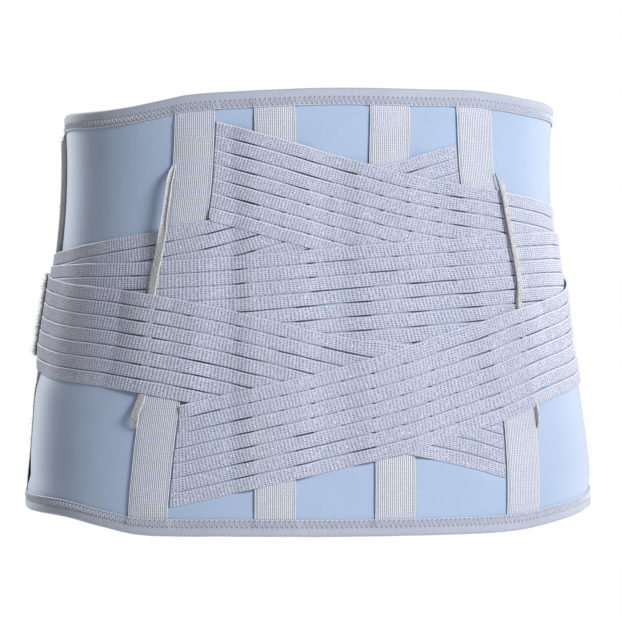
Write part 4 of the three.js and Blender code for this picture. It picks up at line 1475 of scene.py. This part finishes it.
class FrontPiece:
    """A wing or a tab: a sheet between two lines round the body, with pile on its outer face."""

    def __init__(self, name, angles, low_at, high_at, thick_at):
        self.name, self.angles = name, angles[:, None]
        self.low_at, self.high_at, self.thick_at = low_at, high_at, thick_at

    def sheet(self, rows, rounding, material):
        angles = self.angles
        low, high = self.low_at(angles), self.high_at(angles)
        height = low + (high - low) * np.linspace(0, 1, rows)[None, :]
        angle = np.broadcast_to(angles, height.shape)
        base = resting_stand_off(self.name, angle, height)
        from_ends = np.minimum(angles - angles[0], angles[-1] - angles) * mm_per_degree(angle, height)
        near = np.minimum(np.minimum(height - low, high - height), from_ends)
        rounded = SHEET_EDGE + (1 - SHEET_EDGE) * np.sqrt(smooth_rise(0, rounding, near))
        face = body_point(angle, height, base + self.thick_at(height) * rounded)
        back = body_point(angle, height, base)
        place = paired((angle - angles[0]) * mm_per_degree(angles.mean(), 0.0), height)
        parts = Parts()
        parts.sweep(face_and_back(face, back), face_and_back(place, place))
        return parts.build(self.name + "_sheet", material, "pile", self.name)

    def pile(self, dense, area, fibre, material, draw):
        """Short leaning fibres, strewn over the outer face."""
        count = int(area * dense)
        along, up = draw.random(count), draw.random(count)
        first, last = self.angles[0, 0], self.angles[-1, 0]
        angle = first + (last - first) * along
        low, high = self.low_at(angle), self.high_at(angle)
        height = low + (high - low) * up
        off = resting_stand_off(self.name, angle, height) + PILE_FROM * self.thick_at(height)
        roots, out = point_and_way_out(angle, height, off)
        reach = fibre * draw.uniform(*PILE_LENGTHS, (count, 1))
        tips = roots + (out + draw.normal(0, PILE_LEAN, (count, 3))) * reach
        parts = Parts()
        parts.spikes(roots - PILE_ROOTED * out, tips, PILE_WIDTH, paired(along, up))
        return parts.build(self.name + "_pile", material, "pile")


def make_wing(name, material, draw):
    first, last = WINGS[name]["from"], WINGS[name]["to"]
    clear = settings("binding").width + WING_CLEARANCE
    wing = FrontPiece(
        name, np.linspace(first, last, WING_STATIONS),
        lambda angle: bottom_edge(angle) + clear,
        lambda angle: top_edge(angle) - clear,
        lambda height: full_thickness("wing", height),
    )
    piece = wing.sheet(WING_ROWS, WING_ROUNDING, material)
    wide = arc_between(first, last, 0.0)
    tall = float(np.mean(wing.high_at(wing.angles) - wing.low_at(wing.angles)))
    pile = wing.pile(WING_PILE, wide * tall, settings("pile").wing_fibre, material, draw)


def make_tab(name, shade_sheet, fibres, draw):
    first, last, middle = TABS[name]["from"], TABS[name]["to"], TABS[name]["height"]
    chosen = settings("pile")
    corner, tall = chosen.tab_corner, chosen.tab_height
    per_degree = float(mm_per_degree(first, middle))

    def half_height(angle):
        distance = np.minimum(angle - first, last - angle) * per_degree
        short = np.clip(corner - distance, 0, corner)
        return tall / 2 - corner + np.sqrt(corner ** 2 - short ** 2)

    ease = 0.5 - 0.5 * np.cos(np.pi * np.linspace(0, 1, TAB_STATIONS))
    tab = FrontPiece(
        name, first + (last - first) * ease,
        lambda angle: middle - half_height(angle),
        lambda angle: middle + half_height(angle),
        lambda height: chosen.tab_thickness,
    )
    piece = tab.sheet(TAB_ROWS, TAB_ROUNDING, shade_sheet)
    wide = arc_between(first, last, middle)
    pile = tab.pile(TAB_PILE, wide * tall, chosen.tab_fibre, fibres, draw)


def level_round(angle, distance, height):
    """A place at a level distance from the body's axis; the angle is in radians."""
    return math.sin(angle) * distance, -math.cos(angle) * distance, height


class BraceStage(bpy.types.Operator):
    """Set up the camera, the pale floor and the soft light"""

    bl_idname = "brace.stage"
    bl_label = "Stage"

    def execute(self, context):
        chosen, scene = context.scene.brace.stage, context.scene
        scene.view_settings.view_transform = "Standard"
        self.camera(scene, chosen)
        self.floor(scene, chosen)
        self.sky(scene, chosen)
        for name, lamp in LAMPS.items():
            self.lamp(scene, name + "_light", getattr(chosen, name + "_power"), *lamp)
        return {"FINISHED"}

    def camera(self, scene, chosen):
        data = bpy.data.cameras.new("camera")
        data.sensor_width = SENSOR_WIDTH
        data.lens = chosen.focal_length
        camera = bpy.data.objects.new("camera", data)
        turn, distance = chosen.camera_angle, chosen.camera_distance
        camera.location = level_round(turn, distance, chosen.camera_height)
        camera.rotation_euler = (math.radians(90), 0, turn - math.atan(AIM_RIGHT_OF_AXIS / distance))
        scene.collection.objects.link(camera)
        scene.camera = camera

    def floor(self, scene, chosen):
        material = bpy.data.materials.new("pale_floor")
        material.use_nodes = True
        wires = Wiring(material.node_tree)
        shader = material.node_tree.nodes["Principled BSDF"]
        shader.inputs["Roughness"].default_value = 0.9
        pale = chosen.floor_colour
        uneven = wires.blend(wires.noise(3.0)["Fac"], scaled(pale, 0.98), pale)
        wires.feed(shader.inputs["Base Color"], uneven)
        turns = np.radians(np.linspace(0, FULL_TURN, FLOOR_CORNERS, endpoint=False))
        drop, wide = -chosen.floor_drop, FLOOR_RADIUS
        ring = [(wide * math.cos(turn), wide * math.sin(turn), drop) for turn in turns]
        mesh = bpy.data.meshes.new("floor")
        mesh.from_pydata(ring, [], [list(range(FLOOR_CORNERS))])
        mesh.materials.append(material)
        floor = bpy.data.objects.new("floor", mesh)
        scene.collection.objects.link(floor)

    def sky(self, scene, chosen):
        """White where the camera sees it, and an even weak light elsewhere."""
        world = bpy.data.worlds.new("studio")
        world.use_nodes = True
        wires = Wiring(world.node_tree)
        sky = world.node_tree.nodes["Background"]
        sky.inputs["Color"].default_value = (1, 1, 1, 1)
        seen = wires.add("ShaderNodeLightPath").outputs["Is Camera Ray"]
        wires.feed(sky.inputs["Strength"], wires.math("MULTIPLY_ADD", seen, 1.0 - chosen.sky, chosen.sky))
        scene.world = world

    def lamp(self, scene, name, watts, around, up, distance, size, tint):
        data = bpy.data.lights.new(name, "AREA")
        data.shape = "DISK"
        data.size = size
        data.energy = watts
        data.color = tint
        lamp = bpy.data.objects.new(name, data)
        around, up = math.radians(around), math.radians(up)
        lamp.location = level_round(around, distance * math.cos(up), distance * math.sin(up))
        lamp.rotation_euler = (math.radians(90) - up, 0, around)
        scene.collection.objects.link(lamp)


class BracePanel(bpy.types.Operator):
    """Make the soft back panel"""

    bl_idname = "brace.back_panel"
    bl_label = "Back panel"

    def execute(self, context):
        make_panel()
        return {"FINISHED"}


class BraceBindings(bpy.types.Operator):
    """Make the folded tapes on both edges with their zigzag seams"""

    bl_idname = "brace.bindings"
    bl_label = "Bindings"

    def execute(self, context):
        material, thread = binding_material(), thread_material()
        make_binding("top_binding", top_edge, 1, material, thread)
        make_binding("bottom_binding", bottom_edge, -1, material, thread)
        return {"FINISHED"}


class BraceChannels(bpy.types.Operator):
    """Make the four stay channels"""

    bl_idname = "brace.stay_channels"
    bl_label = "Stay channels"

    def execute(self, context):
        material = channel_material()
        for name in CHANNEL_PATHS:
            make_channel(name, material)
        return {"FINISHED"}


class BraceBands(bpy.types.Operator):
    """Make the five slit elastic bands"""

    bl_idname = "brace.bands"
    bl_label = "Elastic bands"

    def execute(self, context):
        material = band_material()
        draw = np.random.default_rng(SEED + 3)
        for name in BANDS:
            make_band(name, material, draw)
        return {"FINISHED"}


class BraceKeepers(bpy.types.Operator):
    """Make the two keeper tapes"""

    bl_idname = "brace.keepers"
    bl_label = "Keepers"

    def execute(self, context):
        draw = np.random.default_rng(SEED + 4)
        for name in KEEPERS:
            make_keeper(name, keeper_material(name + "_brushed", KEEPERS[name]["shaded"]), draw)
        return {"FINISHED"}


class BraceFront(bpy.types.Operator):
    """Make the two front wings and the two pull tabs with their pile"""

    bl_idname = "brace.front"
    bl_label = "Front wings and tabs"

    def execute(self, context):
        chosen = settings("pile")
        wing = pile_material("wing_pile", chosen.wing_colour)
        # The tab's sheet is near black as painted shade, for the dark line along its edge.
        shade_sheet = pile_material("tab_backing", chosen.tab_shade_colour)
        fibres = pile_material("tab_pile", chosen.tab_colour)
        draw = np.random.default_rng(SEED + 5)
        for name in WINGS:
            make_wing(name, wing, draw)
        for name in TABS:
            make_tab(name, shade_sheet, fibres, draw)
        return {"FINISHED"}


OPERATORS = (BraceStage, BracePanel, BraceBindings, BraceChannels, BraceBands, BraceKeepers, BraceFront)


class BraceSidebar(bpy.types.Panel):
    """Lists the pieces of the brace and their settings"""

    bl_idname = "VIEW3D_PT_brace"
    bl_label = "Lumbosacral brace"
    bl_space_type = "VIEW_3D"
    bl_region_type = "UI"
    bl_category = "Brace"

    def draw(self, context):
        for operator in OPERATORS:
            self.layout.operator(operator.bl_idname)
        for part in BraceSettings.__annotations__:
            group = getattr(context.scene.brace, part)
            box = self.layout.box()
            for name in group.__annotations__:
                box.prop(group, name)


CLASSES = (
    BracePanelSettings, BraceBindingSettings, BraceChannelSettings, BraceBandSettings, BraceKeeperSettings,
    BracePileSettings, BraceStageSettings, BraceSettings, *OPERATORS, BraceSidebar,
)


def register():
    for item in CLASSES:
        bpy.utils.register_class(item)
    bpy.types.Scene.brace = PointerProperty(type=BraceSettings)


def unregister():
    del bpy.types.Scene.brace
    for item in reversed(CLASSES):
        bpy.utils.unregister_class(item)


def main():
    register()
    bpy.ops.brace.stage()
    bpy.ops.brace.back_panel()
    bpy.ops.brace.bindings()
    bpy.ops.brace.stay_channels()
    bpy.ops.brace.bands()
    bpy.ops.brace.keepers()
    bpy.ops.brace.front()


if __name__ == "__main__":
    main()
